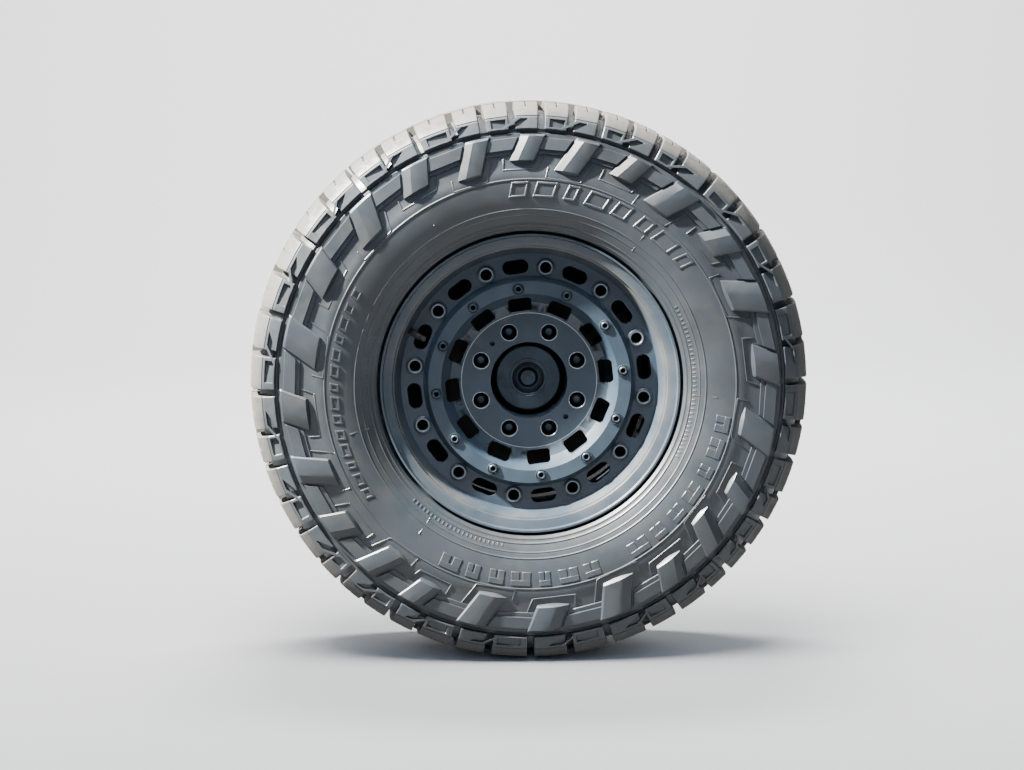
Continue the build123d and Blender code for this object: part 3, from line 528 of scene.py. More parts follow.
# Blocks over the tyre's shoulder. The lesser of a row's and a column's share gives a point's height: it lies
# (share - 1) * depth off the outline, straight out from the tyre's core. The side face is cut back in two
# rows: a pocket in every second block, a slanted step in the others. One straight sipe crosses each block.
def makeShoulderBlocks():
    look = blockShape
    starts, ends = betweenGaps(np.sort(np.concatenate([lugTurns - pitches / 4, lugTurns + pitches / 4])))
    width = np.radians(ends - starts)[:, None] * look["measured"]
    outline = np.array(look["outline"])
    line = outline[:, :2]
    core = np.array(look["core"])
    away = line - np.stack([np.full(len(line), core[0]), np.minimum(line[:, 1], core[1])], -1)
    away = away / np.linalg.norm(away, axis=1, keepdims=True)

    pocket = (np.arange(len(starts)) % 2 == 1)[:, None]
    lean = np.clip((line[:, 0] - look["recessFoot"]) / look["recessTall"], 0, 1)[None, :]
    slanted = (look["stepStart"] + look["stepLean"] * lean) * width
    first = np.where(pocket, look["pocketStart"] * width, slanted)
    last = look["recessEnd"] * width + 0 * lean
    rim = look["recessEdge"]
    flats = [first, first + rim, first + 0.5 * (last - first), last - rim, last]
    edge, edgeShare = np.array(look["edges"]).T
    left = [0 * first + e for e in edge]
    right = [0 * first + width - e for e in edge[::-1]]
    across = np.stack(left + flats + right, -1)

    columnShare = np.concatenate([edgeShare, np.ones(len(flats)), edgeShare[::-1]])
    share = np.minimum(outline[:, 2][:, None], columnShare[None, :])
    point = line[:, None, :] + away[:, None, :] * ((share - 1) * look["depth"])[..., None]
    inRows = np.isin(np.arange(len(line)), look["recessRows"])[None, :, None]
    cut = np.where(pocket[:, :, None], look["pocketCut"], look["stepCut"]) * inRows * look["recess"]
    radius = point[None, ..., 0] - look["cutDown"] * cut
    half = point[None, ..., 1] - look["cutIn"] * cut

    row = look["sipeRow"]
    column = len(left)
    lines = np.array(look["sipeLines"])
    across[:, row:, column:column + len(lines)] = 0.5 * width[:, None] + lines
    shares = np.array(look["sipeShares"])
    radius[:, row + 1:-1, column + 1:column + 1 + len(shares)] -= look["sipeDepth"] * shares
    turn = starts[:, None, None] + np.degrees(across / look["measured"])
    gridPieces("tyre_shoulder_blocks", turn, radius, half)


centreShape = {
    "radius": 441.8,
    "measured": 436.0,  # radius at which the widths are taken
    "depth": 15.8,
    # half width, share of the depth, zigzag's shift and share of the sipes, from the tyre's middle outward
    "rows": [(0.8, -0.1, 0, 0), (0.8, 0.95, 0, 0), (1.6, 0.985, 0, 0), (3.0, 1, 0, 0), (9.0, 1, 3.2, 0),
             (9.6, 1, 3.2, 1), (16.0, 1, -3.2, 1), (23.0, 1, 3.2, 1), (30.0, 1, -3.2, 1), (37.0, 1, 3.2, 1),
             (44.0, 1, -3.2, 1), (51.0, 1, 3.2, 1), (51.6, 1, 3.2, 0), (58.0, 1, 0, 0), (60.5, 0.985, 0, 0),
             (61.6, 0.95, 0, 0), (61.6, -0.1, 0, 0)],
    # distance in from the gap and share of the depth there
    "edges": [(-1.5, -0.1), (0.0, 0.95), (0.8, 0.985), (2.2, 1.0)],
    "sipes": (0.22, 0.5, 0.78),  # shares of the width
    "sipeDepth": 5.0,
    # the lines of a sipe and their share of its depth
    "sipeLines": [(-1.6, 0.0), (-0.6, 0.6), (0.0, 1.0), (0.6, 0.6), (1.6, 0.0)],
}


# Blocks over the tyre's middle, one to a pitch on each side, shifted half round between the two sides:
# radius + (lesser of the row's and the column's share - 1) * depth - sipeDepth * shares of the sipe.
def makeCentreBlocks():
    look = centreShape
    starts, ends = betweenGaps(lugTurns + pitches / 4)
    width = np.radians(ends - starts)[:, None] * look["measured"]
    half, rowShare, zigzag, sipeRow = np.array(look["rows"]).T[:, :, None]
    edge, edgeShare = np.array(look["edges"]).T
    line, lineShare = np.array(look["sipeLines"]).T
    sipes = np.concatenate([width * place + line for place in look["sipes"]], 1)
    across = np.concatenate([0 * width + edge, sipes, width - edge[::-1]], 1)
    inner = np.ones(sipes.shape[1])
    columnShare = np.concatenate([edgeShare, inner, edgeShare[::-1]])
    sipeColumn = np.concatenate([0 * edge, np.tile(lineShare, len(look["sipes"])), 0 * edge])
    shift = zigzag * np.concatenate([0 * edge, inner, 0 * edge])
    lift = (np.minimum(rowShare, columnShare) - 1) * look["depth"] - look["sipeDepth"] * sipeRow * sipeColumn
    turn = starts[:, None, None] + np.degrees((across[:, None, :] + shift) / look["measured"])
    gridPieces("tyre_centre_blocks", turn, look["radius"] + lift[None] + 0 * turn, half[None] + 0 * turn)


makeShoulderBlocks()
makeCentreBlocks()
print("tread blocks made")

lugShape = {
    "longEnd": 338.0,  # radius where the flat top of a long lug ends
    "shortEnd": 352.0,
    "outer": 391.6,
    "root": 369.5,  # lugs slant about this radius
    "halfShare": 0.232,  # half width as a share of the pitch
    "slant": 0.47,  # sideways shift toward the counter-clockwise side, per mm inward
    "smooth": 22.0,
    # radius and half width over the lugs' tops
    "top": [(325.0, 159.6), (345.0, 160.3), (381.0, 159.4), (387.0, 158.4), (392.5, 155.0)],
    # each column's place as a share of the half width, mm added to it, and share of the height
    "columns": [(-1.0, -1.0, -0.25), (-1.0, 0.0, 0.3), (-0.96, 0.0, 0.4), (-0.35, 0.0, 1.0), (-0.1, 0.0, 1.0),
                (0.3, 0.0, 1.0), (0.9, 0.0, 0.8), (1.0, 0.0, 0.6), (1.0, 0.8, -0.25)],
    # rows on the flat top: share of its length and share of the height
    "flatRows": [(1.0, -0.25), (0.985, 0.7), (0.93, 1.0), (0.5, 1.0), (0.0, 1.0)],
    # rows on the crescent at the inner end: share of its length and share of the height
    "endRows": [(0.1, 0.93), (0.55, 0.5), (1.0, 0.03), (1.2, -0.25)],
    "endLength": 6.0,
    "endFull": 0.9,
    "endThin": 0.48,
    "endMiddle": 0.3,
}
lugHalf = np.radians(pitches) * lugShape["halfShare"] * lugShape["root"]
lugEnd = np.where(lugIsLong, lugShape["longEnd"], lugShape["shortEnd"])


# Half width over the lugs' tops: straight lines between the rows of the table.
def topHalf(radius):
    top = np.array(lugShape["top"])
    return np.interp(radius, top[:, 0], top[:, 1])


# Sideways place of every lug's edge at a radius, in mm from its own line: side -1 is the counter-clockwise
# edge and 1 the other.
def lugAcross(radius, side):
    return side * lugHalf - (lugShape["root"] - radius) * lugShape["slant"]


# Slanted lugs on both side walls: half width = wall + (top - wall) * lesser of the row's and the column's
# share. Each top falls to its counter-clockwise side in one broad facet and a little to the other side. The
# inner end is a crescent, endLength * (endFull - endThin * (u - endMiddle) squared) long, where u runs from
# -1 to 1 across the lug.
def makeSideLugs():
    look = lugShape
    u, added, columnShare = np.array(look["columns"]).T
    flat, flatShare = np.array(look["flatRows"]).T
    end, endShare = np.array(look["endRows"]).T
    crescent = look["endLength"] * (look["endFull"] - look["endThin"] * (u - look["endMiddle"]) ** 2)
    ends = lugEnd[:, None, None]
    top = ends + flat[None, :, None] * (look["outer"] - ends) + 0 * crescent
    foot = ends - end[None, :, None] * crescent
    radius = np.concatenate([top, foot], 1)
    across = lugHalf[:, None, None] * u + added - (look["root"] - radius) * look["slant"]
    share = np.minimum(np.concatenate([flatShare, endShare])[:, None], columnShare[None, :])[None]
    wall = wallHalf(radius)
    half = wall + (topHalf(radius) - wall) * share
    turn = lugTurns[:, None, None] + np.degrees(across / radius)
    gridPieces("tyre_side_lugs", turn, radius, half, look["smooth"])


# low plates on the side wall

plateShape = {
    "level": (-1.0, 0.45, 1.0, 1.0, 0.45, -1.0),  # share of the height from rim to rim
    "sink": 1.2,  # how far the rim's foot lies under the wall
}


# Grids of flat plates from four corners each: across and radius are (count, 2, 2), across in mm from the
# lines at turns. Between its corners a plate stands height above the wall. Its rim slopes down past edge
# outside them to a foot under the wall at reach.
def plates(across, radius, height, turns, edge, reach):
    steps = np.array([0, 0, 0, 1, 1, 1])
    push = np.array([-reach, -edge, 0, 0, edge, reach])
    shares = []
    for axis in (1, 2):
        sides = np.stack([np.diff(across, axis=axis).mean(axis), np.diff(radius, axis=axis).mean(axis)])
        span = np.linalg.norm(sides, axis=0).mean(1)
        shares.append(steps[None] + push[None] / np.maximum(span, 1)[:, None])
    down, along = shares[0][..., None], shares[1][:, None]
    grids = []
    for corner in (across, radius):
        rows = corner[:, 0:1] * (1 - down) + corner[:, 1:2] * down
        grids.append(rows[:, :, 0:1] * (1 - along) + rows[:, :, 1:2] * along)
    level = np.array(plateShape["level"])
    share = np.minimum(level[:, None], level[None, :])[None]
    wall = wallHalf(grids[1])
    half = np.where(share < 0, wall - plateShape["sink"], wall + height * share)
    return turns[:, None, None] + np.degrees(grids[0] / grids[1]), grids[1], half


# Corner arrays (count, 2, 2) from sideways places at the top and bottom of each plate.
def corners(left, right, top, bottom):
    across = np.stack([np.stack([left[0], right[0]], -1), np.stack([left[1], right[1]], -1)], 1)
    count = len(across)
    radius = np.stack([np.full((count, 2), top), np.full((count, 2), bottom)], 1)
    return across, radius


# Several sets of plates as one piece.
def mergedPlates(name, parts):
    gridPieces(name, *[np.concatenate([part[k] for part in parts]) for k in range(3)])


panelShape = {
    "steps": [(386.4, 369.0, 5.2), (368.2, 361.5, 2.0)],  # outer and inner radius, height
    "tuck": 6.0,  # how far a panel reaches under its own lug
    "clear": 4.0,  # how far it stops before the next one
    "rim": (0.8, 1.3),
}


# Low plates that join each lug to the next, and the step below them.
def makePanels():
    look = panelShape
    parts = []
    for top, bottom, height in look["steps"]:
        left = [lugAcross(radius, 1) - look["tuck"] for radius in (top, bottom)]
        right = [np.roll(lugAcross(radius, -1), -1) + np.radians(pitches) * radius - look["clear"]
                 for radius in (top, bottom)]
        parts.append(plates(*corners(left, right, top, bottom), height, lugTurns, *look["rim"]))
    mergedPlates("tyre_panels", parts)


contourShape = {
    "start": 360.5,  # radius where a line starts beside the lug
    "drop": 13.0,  # how far it passes below the lug's end
    "beside": 11.0,  # clockwise of the lug
    "beyond": 5.0,  # counter-clockwise of the lug
    "tail": 16.0,
    "tailBeyond": 12.0,
    "width": 1.1,
    "height": 0.9,
    "rim": (0.5, 0.8),
}


# Thin raised lines that follow each lug's clockwise side and inner end: three straight strips between four
# corners, as wide across the wall where they run inward and as tall where they run round.
def makeContours():
    look = contourShape
    start = np.full(lugCount, look["start"])
    foot = lugEnd - look["drop"]
    tail = foot + look["tail"]
    corner = [
        (start, lugAcross(start, 1) + look["beside"]),
        (foot, lugAcross(foot, 1) + look["beside"]),
        (foot, lugAcross(foot, -1) - look["beyond"]),
        (tail, lugAcross(tail, -1) - look["tailBeyond"]),
    ]
    parts = []
    for (radiusA, acrossA), (radiusB, acrossB) in zip(corner[:-1], corner[1:]):
        level = np.all(radiusA == radiusB)
        wide = 0.0 if level else look["width"]
        tall = look["width"] if level else 0.0
        across = np.stack([np.stack([place, place + wide], -1) for place in (acrossA, acrossB)], 1)
        radius = np.stack([np.stack([place, place - tall], -1) for place in (radiusA, radiusB)], 1)
        parts.append(plates(across, radius, look["height"], lugTurns, *look["rim"]))
    mergedPlates("tyre_contour_lines", parts)


ridgeShape = {
    "radii": (416.5, 400.8),  # top and bottom of a bar
    "shifts": (8.0, -17.0),  # sideways from the gap's middle, at the top and at the bottom
    "measured": 408.0,
    "width": 5.0,
    "rim": (0.7, 1.2),
    "face": [(399.6, 151.2), (417.6, 146.9)],  # radius and half width of the bars' face
    "sink": 8.0,
}


# Slanted bars that cross the foot of every second gap in the shoulder. Their face runs straight from foot to
# top, and their rim lies deep in the casing.
def makeShoulderRidges():
    look = ridgeShape
    left = [shift + np.radians(-pitches / 4) * look["measured"] for shift in look["shifts"]]
    right = [edge + look["width"] for edge in left]
    turn, radius, half = plates(*corners(left, right, *look["radii"]), 0.0, lugTurns, *look["rim"])
    inner = np.zeros(half.shape, bool)
    inner[:, 1:-1, 1:-1] = True
    face = np.interp(radius, *np.array(look["face"]).T)
    gridPieces("tyre_shoulder_ridges", turn, radius, np.where(inner, face, face - look["sink"]))


bandShape = {
    # first and last turn, number of bars, outer and inner radius, lean between them
    "outlined": [(-8.0, 54.0, 8, 318.0, 295.0, 6.0), (234.0, 300.0, 14, 313.0, 300.0, 3.0)],
    "solid": [(98.0, 150.0, 7, 317.0, 296.0, 0.0), (158.0, 208.0, 7, 317.0, 296.0, 0.0)],
    "measured": 306.0,
    "width": 0.62,  # share of the room that a bar has
    "swing": 0.2,  # how much that share changes from bar to bar
    "swingStep": 2.4,
    "line": 2.2,  # width of an outline
    "leg": 0.4,  # width of a solid bar's sides, as a share of its own
    "head": 0.36,  # height of a solid bar's top, as a share of its own
    "height": 1.1,
    "rim": (0.6, 0.9),
}


# Plain raised bars round the side wall, where a tyre has its moulded band: outlined and solid ones. A bar's
# width = its room * (width + swing * sin(swingStep * number)).
def makeBand():
    look = bandShape
    line = look["line"]
    parts = []
    for kind in ("outlined", "solid"):
        for start, end, count, high, low, lean in look[kind]:
            number = np.arange(count)
            turns = start + (number + 0.5) * (end - start) / count
            room = math.radians((end - start) / count) * look["measured"]
            width = room * (look["width"] + look["swing"] * np.sin(look["swingStep"] * number))
            left, right = -width / 2, width / 2
            leg = look["leg"] * width if kind == "solid" else line
            head = look["head"] * (high - low) if kind == "solid" else line
            strips = [(left, left + leg, high, low), (right - leg, right, high, low),
                      (left, right, high, high - head)]
            if kind == "outlined":
                strips.append((left, right, low + line, low))
            for first, last, top, bottom in strips:
                shifts = [lean * (radius - low) / (high - low) for radius in (top, bottom)]
                ends = corners([first + s for s in shifts], [last + s for s in shifts], top, bottom)
                parts.append(plates(*ends, look["height"], turns, *look["rim"]))
    mergedPlates("tyre_band_bars", parts)


ribSpans = [(62.0, 118.0, 1.6), (190.0, 226.0, 1.6), (262.0, 290.0, 1.6)]  # from, to and step
markShape = {
    "lines": {
        "turns": np.array([94.0, 217.0, 255.0, 37.0, 329.0]), "halfWidth": 0.5,
        "radii": (292.0, 262.0), "height": 0.8, "rim": (0.4, 0.6),
    },
    "ribs": {
        "turns": np.concatenate([np.arange(*span) for span in ribSpans]), "halfWidth": 0.9,
        "radii": (259.5, 255.0), "height": 0.6, "rim": (0.5, 0.8),
    },
}


# Radial mould lines and rows of short ribs near the bead.
def makeMouldMarks():
    parts = []
    for look in markShape.values():
        right = np.full(len(look["turns"]), look["halfWidth"])
        ends = corners([-right, -right], [right, right], *look["radii"])
        parts.append(plates(*ends, look["height"], look["turns"], *look["rim"]))
    mergedPlates("tyre_mould_marks", parts)


makeSideLugs()
makePanels()
makeContours()
makeShoulderRidges()
makeBand()
makeMouldMarks()
print("side lugs made")


# Turned parts of the wheel: screws, nuts, collars and the hub's end. A row of a profile holds radius, rise
# over the front, share of the hexagon and shade: above 0 painted shade in sockets, grooves and pockets, below
# 0 a painted highlight on edges. The front is a place, and the circle is where the parts stand round the
# axle.
pocketTurns = 22.5 + 45.0 * np.arange(8)
pocketCircle = 82.55
padFront = -89.0
hubFront = -51.0
turnedParts = {
    # Ring bolts: the socket is painted dark as shade, and the rim of the head light as a painted highlight.
    "ring_bolts_turned": {
        "turns": 8.0 + 30.0 * np.arange(12), "circle": 182.5, "front": -106.0,
        "columns": 42, "replaced": ("ring_bolts",),
        "profile": [(14.2, -0.2, 0, 0), (14.2, 1.4, 0, 0), (13.9, 2.2, 0, 0), (13.2, 2.9, 0, 0),
                    (12.2, 3.4, 0, 0), (10.8, 3.9, 0, -0.1), (9.8, 3.9, 0, -0.5), (9.0, 3.5, 0, 0),
                    (8.5, 2.7, 0, 0.4), (8.2, 1.4, 0.3, 0.9), (7.9, 0.5, 1, 1), (6.0, 0.3, 1, 1),
                    (0.01, 0.3, 0, 1)],
    },
    # Face screws: the groove round the head and the socket are painted dark as shade.
    "face_screws_turned": {
        "turns": -7.0 + 30.0 * np.arange(12), "circle": 148.5, "front": -121.0,
        "columns": 36, "replaced": ("face_screws",),
        "profile": [(9.6, -0.2, 0, 0), (9.6, 0.9, 0, 0), (9.2, 1.6, 0, 0), (8.4, 1.8, 0, 0),
                    (7.8, 1.3, 0, 0.3), (7.5, 0.5, 0, 0.8), (7.1, 0.5, 0, 0.8), (6.9, 1.6, 0, 0.2),
                    (6.5, 2.6, 0, 0), (5.6, 3.3, 0, 0), (4.7, 3.5, 0, 0), (4.2, 3.3, 0.4, 0.2),
                    (3.9, 2.4, 1, 0.9), (3.8, 0.5, 1, 1), (0.01, 0.4, 0, 1)],
    },
    # Lug nuts: the sides deep in the pocket and a step on the end are painted dark as shade.
    "lug_nuts_turned": {
        "turns": pocketTurns, "circle": pocketCircle, "front": -31.0,
        "columns": 48, "replaced": ("lug_nuts",), "flutes": 12,
        "profile": [(8.2, -6.0, 0, 0.6), (10.1, 0.0, 0, 0.6), (10.1, 35.0, 0, 0.5), (9.9, 37.5, 0, 0.2),
                    (9.2, 40.0, 0, 0), (8.3, 42.6, 0, 0), (7.2, 44.6, 0, 0), (6.2, 45.6, 0, 0),
                    (5.4, 45.9, 0, 0), (5.0, 45.5, 0, 0.4), (4.4, 45.3, 0, 0), (0.01, 45.3, 0, 0)],
    },
    # Collars: a painted highlight on the pocket's edge, and the bore painted darker inward as shade.
    "pocket_collars": {
        "turns": pocketTurns, "circle": pocketCircle, "front": padFront, "columns": 48, "cap": False,
        "profile": [(13.7, -0.1, 0, 0), (13.5, 0.35, 0, -0.6), (12.9, 0.45, 0, -1), (12.25, -0.2, 0, 0),
                    (12.15, -5.0, 0, 0.5), (12.15, -30.0, 0, 1)],
    },
    # Pad edge: a thin painted highlight along the edge of the pad.
    "pad_edge": {
        "front": padFront, "columns": 192, "cap": False,
        "profile": [(108.0, -0.4, 0, 0), (107.9, 0.15, 0, -0.7), (107.2, 0.2, 0, -0.5), (106.4, -0.1, 0, 0)],
    },
    "hub_ring": {
        "front": hubFront, "columns": 72, "cap": False,
        "profile": [(31.2, -0.1, 0, 0), (30.6, 0.6, 0, 0), (29.6, 0.8, 0, 0), (28.8, 0.5, 0, 0),
                    (28.2, -0.1, 0, 0)],
    },
    # Hub seal: the recess round the shaft is painted dark as shade.
    "hub_seal": {
        "front": hubFront, "columns": 72, "cap": False,
        "profile": [(24.9, -0.6, 0, 0), (24.8, -4.0, 0, 0.3), (23.6, -9.0, 0, 0.6), (20.0, -10.0, 0, 0.5),
                    (19.4, -9.0, 0, 0.3), (16.4, -9.0, 0, 0.3), (15.8, -10.0, 0, 0.6), (13.3, -10.5, 0, 0.9)],
    },
    # Shaft centre: the centre dimple is painted dark as shade.
    "shaft_centre": {
        "front": hubFront, "columns": 60,
        "profile": [(12.0, -3.9, 0, 0), (11.6, -3.6, 0, 0), (5.2, -3.6, 0, 0), (4.4, -4.1, 0, 0.5),
                    (0.01, -6.5, 0, 1)],
    },
}
fluteShape = {"depth": 0.02, "above": 9.0}  # share of the radius, and the radius from which it is cut
turnedSmooth = 32.0


# Profiles carried round their own axes. Towards a hexagon the radius is multiplied by cos 30 / cos(angle
# within its sixth), and a flute takes depth * (1 - cos(angle * flutes)) off it.
def makeTurned(name, profile, front, columns, turns=(0.0,), circle=0.0, replaced=(), flutes=0, cap=True):
    rows = np.array(profile)
    angle = np.arange(columns) * 2 * math.pi / columns
    hexagon = math.cos(math.pi / 6) / np.cos((angle % (math.pi / 3)) - math.pi / 6)
    fluted = fluteShape["depth"] * (1 - np.cos(angle * flutes))
    flute = np.where(rows[:, 0:1] > fluteShape["above"], fluted, 0.0)
    radius = rows[:, 0:1] * (1 + rows[:, 2:3] * (hexagon - 1)) * (1 - flute)
    turn = np.radians(turns)[:, None, None]
    x = axle[0] + circle * np.sin(turn) + radius * np.cos(angle)
    z = axle[2] + circle * np.cos(turn) + radius * np.sin(angle)
    y = axle[1] + front - rows[:, 1][None, :, None] + 0 * x
    count, depth = len(turns), len(rows)
    quads = repeatQuads(gridQuads(depth, columns, False, True), count, depth * columns)
    faces = quads[:, ::-1].tolist()
    if cap:
        last = (depth - 1) * columns + np.arange(columns)
        faces += (last[None] + np.arange(count)[:, None] * depth * columns).tolist()
    shade = np.broadcast_to(rows[:, 3][None, :, None], x.shape)
    points = np.stack([x, y, z], -1) * mm
    addPiece(name, points, faces, "wheel", blackSteel, replaced, turnedSmooth, shade)


for name, part in turnedParts.items():
    makeTurned(name, **part)
print("screws and nuts made")


# dust shield's small parts: dark sheets that stand in for the wheel well's shade

shadeRingShape = {
    "outline": [(203.9, 71.0), (206.6, 70.6), (207.0, 72.0), (206.6, 73.4), (203.9, 74.0)],  # radius, place
    "columns": 192,
}


# Dark ring round the dust shield's rim that closes the gap to the barrel, as painted shade: its closed
# outline carried round the axle.
def makeShadeRing():
    points, faces = revolved(np.array(shadeRingShape["outline"]), shadeRingShape["columns"])
    addPiece("shield_shade_ring", points, faces, "knuckle", shieldSteel)


shadeFlapShape = {
    # radius, and where the flap ends beside the caliper as an angle from the level line
    "rows": [(146.0, 32.0), (160.0, 32.0), (175.0, 32.0), (188.0, 32.0), (188.2, 17.0), (203.0, 17.0)],
    "farEnd": 54.0,
    "columns": 13,
    "places": (75.0, 76.2),  # the two faces of the sheet
}


# Two thin dark flaps behind the dust shield that close its opening above and below the caliper, as painted
# shade: two grids, one for each face of the sheet, and a strip of quads round their rim.
def makeShadeFlaps():
    look = shadeFlapShape
    radius, nearEnd = np.array(look["rows"]).T[:, :, None]
    angle = nearEnd + (look["farEnd"] - nearEnd) * np.linspace(0, 1, look["columns"])
    place = np.array(look["places"])[:, None, None]
    rows, columns = angle.shape
    back = rows * columns  # how much later the second face's points come
    rim = np.concatenate([np.arange(columns), np.arange(1, rows) * columns + columns - 1,
                          (rows - 1) * columns + np.arange(columns - 1)[::-1],
                          np.arange(1, rows - 1)[::-1] * columns])
    after = np.roll(rim, -1)
    flat = gridQuads(rows, columns)
    edge = np.stack([rim, rim + back, after + back, after], -1)
    quads = np.concatenate([flat[:, ::-1], flat + back, edge])
    points = []
    faces = []
    for index, side in enumerate((1, -1)):
        points.append(wheelPoints(90.0 - side * angle, radius, place).reshape(-1, 3))
        faces.append(quads[:, ::-side] + index * 2 * back)
    faces = np.concatenate(faces).tolist()
    addPiece("shield_shade_flaps", np.concatenate(points), faces, "knuckle", shieldSteel)


# carried-over nodes with their finishes

dressing = {
    "join": 0.02,  # corners of the loose triangles nearer than this are one
    "flat": 0.6,  # faces whose angle is less are one
    "sharp": 34.0,  # edges with a larger angle are rounded
    "roundSteps": 2,
    "smooth": 19.0,
    "rimSmooth": 17.0,  # for the wheel, whose cone has flatter bends
    "grimeAndShade": 0.7,  # painted shade and road grime on the wheel's inner side
    "grimeAndShadePlace": -93.0,  # inboard of this
    "grimeAndShadeRadius": 112.0,  # and outside this
}
# body, slot, material and radius of the rounded edges
finishes = {
    "wheel_rim": ("wheel", "black_paint", blackPaint, 0.6),
    "wheel_studs": ("wheel", "plated_steel", plated, 0.0),
    "hub": ("wheel", "black_steel", blackSteel, 0.8),
    "stub_shaft": ("wheel", "machined_steel", machined, 0.8),
    "axle_nut": ("wheel", "black_steel", blackSteel, 0.6),
    "brake_disc": ("wheel", "grey_iron", greyIron, 0.0),
    "valve_stem": ("wheel", "valve_rubber", valveRubber, 0.4),
    "valve_cap": ("wheel", "black_plastic", capPlastic, 0.4),
    "balance_weights": ("wheel", "plated_steel", plated, 0.6),
    "knuckle": ("knuckle", "painted_iron", casting, 2.0),
    "hub_bearing": ("knuckle", "machined_steel", machined, 0.8),
    "bearing_bolts": ("knuckle", "plated_steel", plated, 0.5),
    "caliper_bracket": ("knuckle", "painted_iron", casting, 1.5),
    "bracket_bolts": ("knuckle", "plated_steel", plated, 0.5),
    "brake_caliper": ("knuckle", "painted_iron", casting, 2.0),
    "guide_pins": ("knuckle", "plated_steel", plated, 0.4),
    "brake_pad_outer": ("knuckle", "brake_lining", lining, 0.6),
    "brake_pad_inner": ("knuckle", "brake_lining", lining, 0.6),
    "dust_shield": ("knuckle", "shield_steel", shieldSteel, 0.0),
}


# Shade values of the wheel's inner side: painted shade and road grime behind the face, none in front of it.
def innerGrimeAndShade(mesh):
    points = np.empty(len(mesh.vertices) * 3, np.float32)
    mesh.vertices.foreach_get("co", points)
    x, y, z = points.reshape(-1, 3).T * 1000
    radius = np.hypot(x - axle[0], z - axle[2])
    hidden = (y - axle[1] > dressing["grimeAndShadePlace"]) & (radius > dressing["grimeAndShadeRadius"])
    return np.where(hidden, dressing["grimeAndShade"], 0.0)


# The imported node's own shape, its loose triangles joined and its flat ones merged, with rounded edges.
def dressNode(node, body, slot, material, bevel):
    mesh = nodes[node].data.copy()
    piece = bpy.data.objects.new(node + "_finished", mesh)
    bpy.context.scene.collection.objects.link(piece)
    mesh.name = piece.name
    work = bmesh.new()
    work.from_mesh(mesh)
    bmesh.ops.remove_doubles(work, verts=work.verts, dist=dressing["join"] * mm)
    flat = math.radians(dressing["flat"])
    bmesh.ops.dissolve_limit(work, angle_limit=flat, verts=work.verts, edges=work.edges)
    work.to_mesh(mesh)
    work.free()
    if node == "wheel_rim":
        addShade(mesh, innerGrimeAndShade(mesh))
    smooth = dressing["rimSmooth"] if node == "wheel_rim" else dressing["smooth"]
    finishPiece(piece, body, material, (node,), smooth)
    if bevel > 0:
        edges = piece.modifiers.new("roundedEdges", "BEVEL")
        edges.width = bevel * mm
        edges.segments = dressing["roundSteps"]
        edges.limit_method = "ANGLE"
        edges.angle_limit = math.radians(dressing["sharp"])
        edges.harden_normals = False
    weighted = piece.modifiers.new("flatFacesFirst", "WEIGHTED_NORMAL")
    weighted.keep_sharp = True


for node, finish in finishes.items():
    dressNode(node, *finish)
makeShadeRing()
makeShadeFlaps()
print("metal parts finished")


# floor, light and camera: lengths here are in metres

studio = {
    "paper": "f3f2f0",
    "paperRoughness": 0.9,
    "floorSize": 9.0,
    "wallRadius": 1.6,
    "wallBehind": 4.4,
    "wallHeight": 4.5,
    "sweepSteps": 24,
    "room": "c3d8f0",  # pale sky from all round
    "roomStrength": 0.25,
}


# Pale floor that turns up into a wall: straight, a quarter round of wallRadius, straight.
def makeStudio():
    look = studio
    low = axle[2] * mm - tyreShape["radius"] * mm
    bend = look["wallRadius"]
    angle = np.linspace(0, math.pi / 2, look["sweepSteps"])
    y = np.concatenate([[-look["floorSize"]], look["wallBehind"] + bend * np.sin(angle),
                        [look["wallBehind"] + bend]])
    z = np.concatenate([[0.0], bend * (1 - np.cos(angle)), [look["wallHeight"]]]) + low
    x = np.array([-look["floorSize"], look["floorSize"]])
    points = np.stack(np.broadcast_arrays(x[None, :], y[:, None], z[:, None]), -1)
    mesh = bpy.data.meshes.new("studio_floor")
    mesh.from_pydata(points.reshape(-1, 3), [], gridQuads(len(y), 2).tolist())
    mesh.shade_smooth()
    floor = bpy.data.objects.new("studio_floor", mesh)
    bpy.context.scene.collection.objects.link(floor)
    material, tree, shader, coords = startMaterial("StudioPaper")
    setInputs(tree, shader, {"Base Color": look["paper"], "Roughness": look["paperRoughness"]})
    mesh.materials.append(material)


wheelMiddle = tuple(axle * mm)
# place, target, width of the lamp, watts and colour
lights = {
    "lowKey": ((-3.35, -1.2, 3.72), wheelMiddle, 0.18, 7400, "fffaf2"),
    "topSoft": ((-0.6, -1.6, 4.4), (0.0, 0.4, 0.0), 3.2, 330, "ffffff"),
    "frontFill": ((-0.8, -5.2, 2.4), wheelMiddle, 3.0, 38, "aacbff"),
    "paperLight": ((0.0, 1.9, 4.4), (0.0, 5.6, 0.4), 2.6, 560, "ffffff"),
    "backFill": ((1.4, 4.6, 2.2), wheelMiddle, 3.0, 26, "cfe2ff"),
}


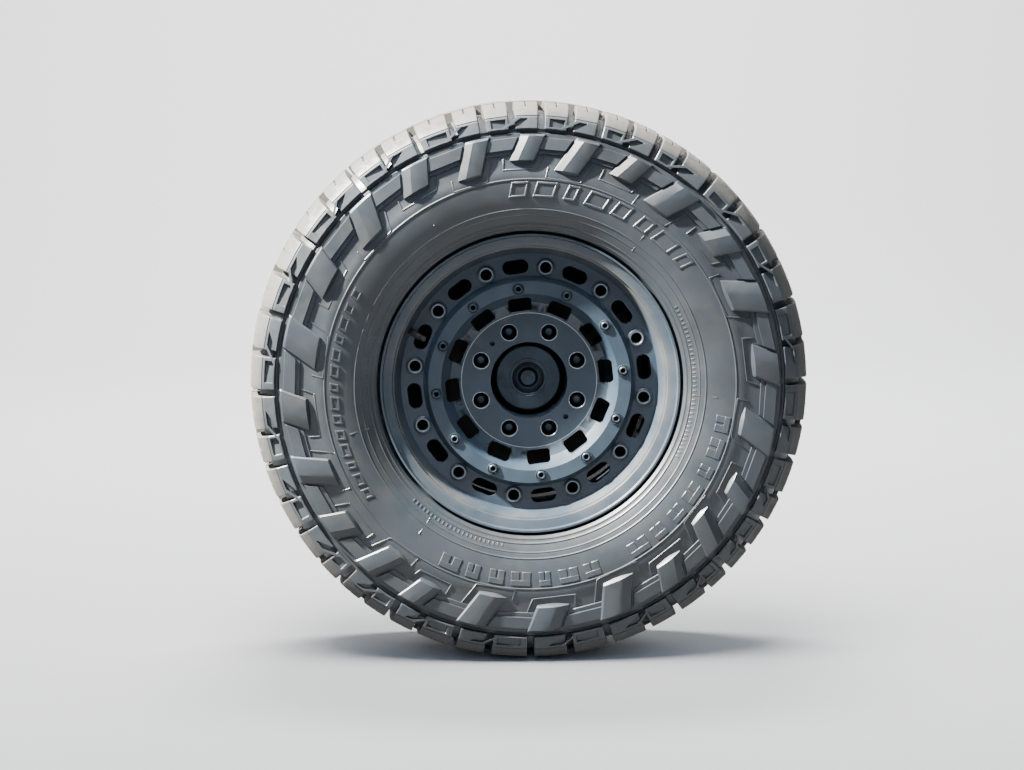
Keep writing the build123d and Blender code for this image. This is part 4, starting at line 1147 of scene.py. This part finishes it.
# A round lamp that looks from its place at its target.
def addLight(name, place, target, size, power, colour):
    light = bpy.data.lights.new(name, "AREA")
    light.shape = "DISK"
    light.size = size
    light.energy = power
    light.color = toLinear(colour)[:3]
    lamp = bpy.data.objects.new(name, light)
    lamp.location = place
    lamp.rotation_euler = (Vector(target) - Vector(place)).to_track_quat("-Z", "Y").to_euler()
    bpy.context.scene.collection.objects.link(lamp)
    return lamp


# The low key lights the pieces and not the paper, so that no long shadow lies on it.
def makeLights():
    litPieces = bpy.data.collections.new("lit_by_the_low_key")
    for piece in bpy.context.scene.objects:
        if piece.type == "MESH" and piece.name != "studio_floor":
            litPieces.objects.link(piece)
    lamps = {name: addLight(name, *settings) for name, settings in lights.items()}
    lamps["lowKey"].light_linking.receiver_collection = litPieces
    world = bpy.data.worlds.new("softRoom")
    world.use_nodes = True
    room = {"Color": studio["room"], "Strength": studio["roomStrength"]}
    setInputs(world.node_tree, world.node_tree.nodes["Background"], room)
    bpy.context.scene.world = world


cameraSet = {
    "distance": 4.52,
    "fromLeft": 2.2,  # degrees toward the front of the vehicle
    "above": 6.2,
    "aim": -85.0,  # place of the point that it looks at, mm
    "lens": 100.0,
    "sensor": 36.0,
    "wheelPixel": (529.0, 380.0),  # where the middle of the pad falls in the photo
    "imageSize": (1024, 770),
}


# Camera on the photo's line to the wheel; the lens shift puts the pad's middle on its pixel.
def makeCamera():
    look = cameraSet
    side, up = math.radians(look["fromLeft"]), math.radians(look["above"])
    away = np.array([-math.sin(side) * math.cos(up), -math.cos(side) * math.cos(up), math.sin(up)])
    target = (axle + [0, look["aim"], 0]) * mm
    width, height = look["imageSize"]
    data = bpy.data.cameras.new("photoCamera")
    data.lens = look["lens"]
    data.sensor_width = look["sensor"]
    data.shift_x = -(look["wheelPixel"][0] - width / 2) / width
    data.shift_y = (look["wheelPixel"][1] - height / 2) / width
    camera = bpy.data.objects.new("photoCamera", data)
    bpy.context.scene.collection.objects.link(camera)
    camera.location = target + away * look["distance"]
    camera.rotation_euler = Vector(-away).to_track_quat("-Z", "Y").to_euler()
    bpy.context.scene.camera = camera


makeStudio()
makeLights()
makeCamera()
print("studio set")

bpy.context.view_layer.update()
